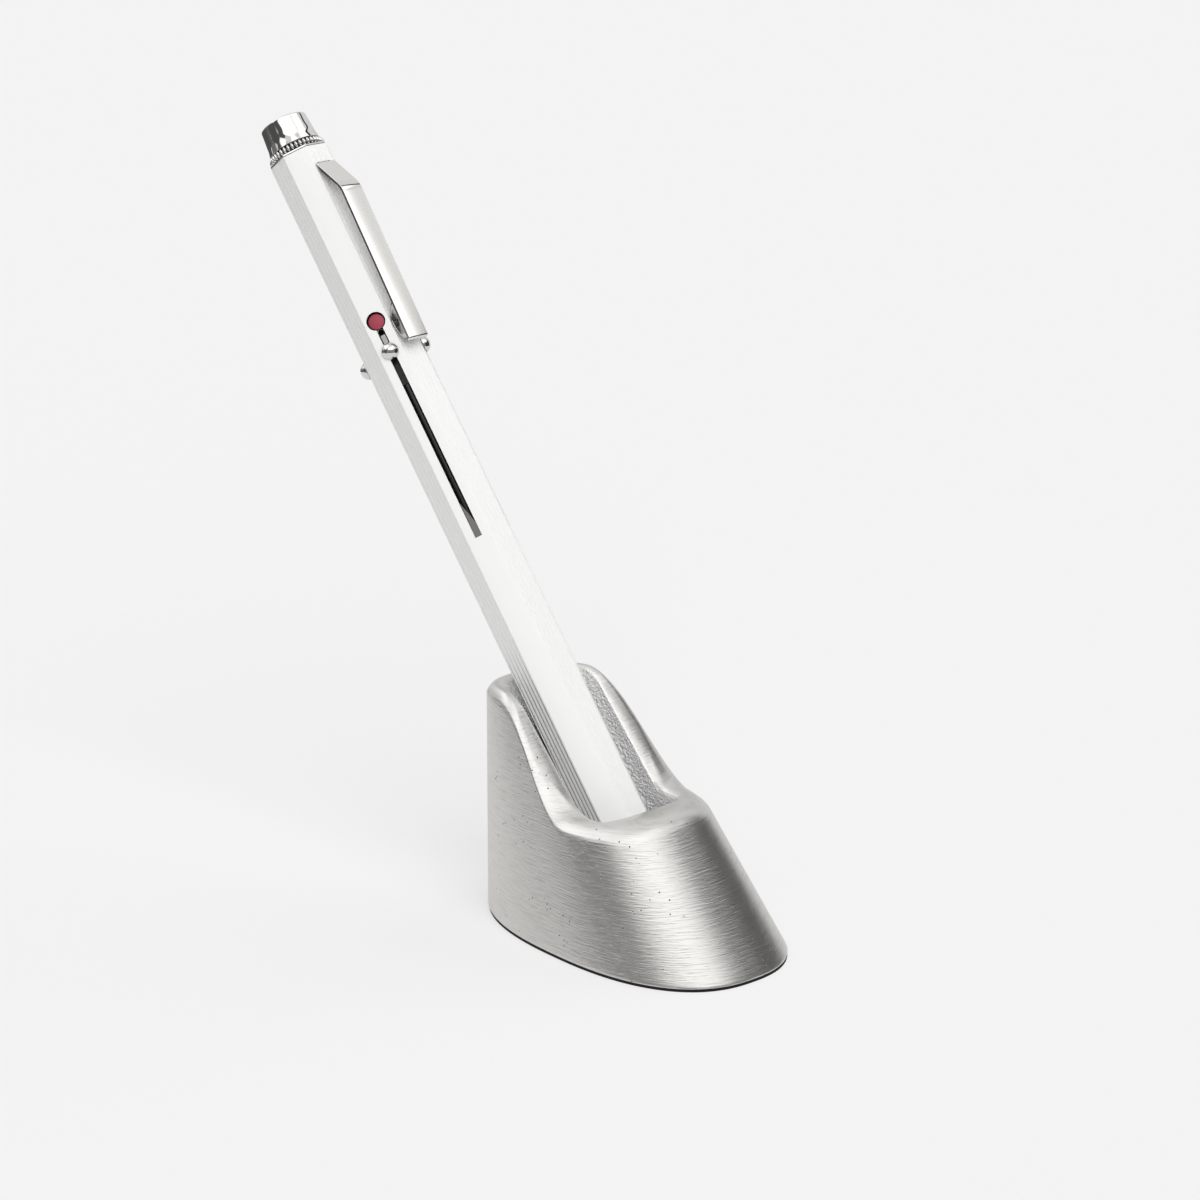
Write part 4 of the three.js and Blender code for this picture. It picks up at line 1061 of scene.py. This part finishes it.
def buildSpring(colour):
    # a straight leg at each end of the coil
    s = springSizes
    legs = bpy.data.meshes.new("springLegs")
    work = bmesh.new()
    for low, high in ((s["foot"], s["foot"] + s["leg"]), (s["head"] - s["leg"], s["head"])):
        bmesh.ops.create_cone(
            work, cap_ends=True, segments=8, radius1=s["wire"] / 2, radius2=s["wire"] / 2, depth=high - low,
            matrix=Matrix.Translation((s["radius"], 0, (low + high) / 2)))
    work.to_mesh(legs)
    work.free()
    mesh = grown(legs, springMaker, {"Height": s["head"] - s["foot"] - 2 * s["leg"]})
    place = laneFrames[colour] @ Matrix.Translation((0, -s["spread"], 0))
    piece = shownPiece("returnSpring" + colour.capitalize(), mesh, place, [machinedSteel], 50)
    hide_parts("return_spring_" + colour)
    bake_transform(piece)
    return piece


sliders = {colour: [buildKnob(colour), buildDisc(colour), buildRefill(colour), buildSpring(colour)]
           for colour in colours}
print("slot pieces made:", sum(len(v) for v in sliders.values()))


# What stays as the frame's own solid gets its finish

plainFinishes = {"refill_guide": mouldedNylon, "catch_block": catchSteel, "spring_anchor": machinedSteel}
plainFinishes.update({"carriage_" + colour: mouldedNylon for colour in colours})
for node, finish in plainFinishes.items():
    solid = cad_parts[node]
    solid.data.materials.clear()
    solid.data.materials.append(finish)

print("finishes set")


# Studio: a pale floor, soft daylight, and the bright and dark screens that metal reflects

studio = {
    "white": "#f1f1f1",
    "floorHalfMetres": 6.0,
    "floorShade": 0.42,  # share of the floor that takes light and shadow
    "floorGlow": 0.935,
    "fill": 0.36,
    # wide soft lamps: azimuth, elevation, strength and spread, in degrees
    "lamps": {"keyLight": (-28, 50, 0.63, 60), "sideLight": (82, 36, 0.2, 50)},
}
# screens as azimuth from and to, elevation from and to, softness of the edge in degrees, brightness;
# azimuth 0 looks to -Y and 90 to +X; a later screen covers an earlier one
screens = {
    "leftLow": (-166, -121, -25, 10, 6, 0.2),
    "leftWall": (-130, -84, -25, 47, 4, 0.1),
    "underTable": (-84, 34, -20, 8, 3, 0.07),
    "cameraSide": (-84, 34, 8, 36, 5, 0.29),
    "clipStrip": (36, 56.5, 32, 54, 3, 2.0),
    "rightLine": (86, 93, 10, 74, 1.5, 0.04),
    "softboxSide": (24, 84, 46, 78, 4, 1.55),
    "backRight": (115, 165, 4, 31, 8, 0.65),
    "capRight": (67, 85, 12, 35, 3, 1.3),
    "softboxLow": (-84, 13, 36, 46, 5, 1.75),
    "softbox": (-84, 17, 44, 78, 5, 1.75),
    "backLight": (-190, -103, 27, 72, 7, 1.6),
}
# dark cards near the rest that only reflections see; middle, width and height in metres,
# azimuth and elevation of the way they face, brightness
cards = {
    "rightCard": ((0.19, -0.125, 0.14), 0.34, 0.22, 60, 0, 0.05),
    "leftFloorCard": ((-0.14, 0.55, 0.0005), 0.52, 0.5, 0, 90, 0.1),
    "farFloorCard": ((-3.2, 2.2, 0.0005), 5.6, 4.6, 0, 90, 0.14),
}
plainWhite = (1, 1, 1, 1)


def direction(azimuth, elevation):
    a, e = math.radians(azimuth), math.radians(elevation)
    return Vector((math.sin(a) * math.cos(e), -math.cos(a) * math.cos(e), math.sin(e)))


def sunLamp(name, azimuth, elevation, strength, spread):
    # metal sees the screens instead of the lamp
    lamp = bpy.data.lights.new(name, "SUN")
    lamp.energy = strength * math.pi
    lamp.angle = math.radians(spread)
    holder = placed(name, lamp)
    holder.rotation_euler = direction(azimuth, elevation).to_track_quat("Z", "Y").to_euler()
    holder.visible_glossy = False


def studioSheet(name, corners):
    # a flat sheet that is not part of the object; returns it and the tree of its own material
    sheet = placed(name, meshFrom(name, corners, [[0, 1, 2, 3]]))
    material, tree = emptyTree(name, bpy.data.materials)
    sheet.data.materials.append(material)
    return sheet, tree


def reflectedRoom(sky, base):
    # the screens, painted round the room by direction
    place = addNode(sky, "ShaderNodeTexCoord").outputs["Generated"]
    parts = addNode(sky, "ShaderNodeSeparateXYZ", {0: place})
    towardsFront = addNode(sky, "ShaderNodeMath", {0: parts.outputs["Y"], 1: -1.0}, operation="MULTIPLY")
    azimuth = addNode(sky, "ShaderNodeMath", {0: parts.outputs["X"], 1: towardsFront}, operation="ARCTAN2")
    elevation = addNode(sky, "ShaderNodeMath", {0: parts.outputs["Z"]}, operation="ARCSINE")
    light = base
    for azimuthLow, azimuthHigh, low, high, soft, bright in screens.values():
        inside = 1.0
        for angle, edge, start, end in ((azimuth, azimuthLow, 0.0, 1.0), (azimuth, azimuthHigh, 1.0, 0.0),
                                        (elevation, low, 0.0, 1.0), (elevation, high, 1.0, 0.0)):
            within = addNode(sky, "ShaderNodeMapRange", {
                "Value": angle, "From Min": math.radians(edge - soft / 2),
                "From Max": math.radians(edge + soft / 2),
                "To Min": start, "To Max": end}, interpolation_type="SMOOTHSTEP")
            inside = addNode(sky, "ShaderNodeMath", {0: inside, 1: within}, operation="MULTIPLY")
        light = addNode(sky, "ShaderNodeMix", {
            "Factor": inside, "A": light, "B": bright}, data_type="FLOAT").outputs["Result"]
    return light


def darkCard(name, middle, width, height, azimuth, elevation, shade):
    out = direction(azimuth, elevation)
    across = Vector((math.cos(math.radians(azimuth)), math.sin(math.radians(azimuth)), 0))
    upward = out.cross(across)
    corners = [Vector(middle) + across * (i * width / 2) + upward * (j * height / 2)
               for i, j in ((-1, -1), (1, -1), (1, 1), (-1, 1))]
    card, tree = studioSheet(name, corners)
    glow = addNode(tree, "ShaderNodeEmission", {"Color": plainWhite, "Strength": shade})
    addNode(tree, "ShaderNodeOutputMaterial", {"Surface": glow})
    card.visible_camera = False
    card.visible_diffuse = False
    card.visible_shadow = False
    card.visible_transmission = False


def paleFloor():
    # takes the object's shadow, and shows to camera and reflections nearly as white as the air
    s = studio
    half, low = s["floorHalfMetres"], -1e-5
    corners = [(-half, -half, low), (half, -half, low), (half, half, low), (-half, half, low)]
    tree = studioSheet("paleFloor", corners)[1]
    lit = addNode(tree, "ShaderNodeBsdfDiffuse", {"Color": linear(s["white"])})
    even = addNode(tree, "ShaderNodeEmission", {"Color": plainWhite, "Strength": s["floorGlow"]})
    rays = addNode(tree, "ShaderNodeLightPath").outputs
    seen = addNode(tree, "ShaderNodeMath", {
        0: rays["Is Camera Ray"], 1: rays["Is Glossy Ray"]}, operation="MAXIMUM")
    share = addNode(tree, "ShaderNodeMath", {0: seen, 1: 1 - s["floorShade"]}, operation="MULTIPLY")
    both = addNode(tree, "ShaderNodeMixShader", {0: share, 1: lit, 2: even})
    addNode(tree, "ShaderNodeOutputMaterial", {"Surface": both})


def studioAir():
    s = studio
    world, sky = emptyTree("studioAir", bpy.data.worlds)
    bpy.context.scene.world = world
    white = linear(s["white"])
    fill = addNode(sky, "ShaderNodeBackground", {"Color": plainWhite, "Strength": s["fill"]})
    backdrop = addNode(sky, "ShaderNodeBackground", {"Color": white, "Strength": 1.0})
    room = addNode(sky, "ShaderNodeBackground", {
        "Color": plainWhite, "Strength": reflectedRoom(sky, white[0])})
    rays = addNode(sky, "ShaderNodeLightPath").outputs
    mix = addNode(sky, "ShaderNodeMixShader", {0: rays["Is Glossy Ray"], 1: fill, 2: room})
    mix = addNode(sky, "ShaderNodeMixShader", {0: rays["Is Camera Ray"], 1: mix, 2: backdrop})
    addNode(sky, "ShaderNodeOutputWorld", {"Surface": mix})


paleFloor()
studioAir()
for name, card in cards.items():
    darkCard(name, *card)
for name, lamp in studio["lamps"].items():
    sunLamp(name, *lamp)

view = {"location": (-0.461955, -0.521799, 0.300162), "look": (0.6194, 0.7114, -0.3320), "lens": 144.125}
camera = bpy.data.cameras.new("camera")
camera.lens = view["lens"]
camera.sensor_width = 36
camera.clip_start = 0.01
cameraObject = placed("camera", camera)
cameraObject.location = view["location"]
cameraObject.rotation_euler = (-Vector(view["look"])).to_track_quat("Z", "Y").to_euler()
bpy.context.scene.camera = cameraObject
bpy.context.scene.view_settings.view_transform = "Standard"
print("studio and camera set")
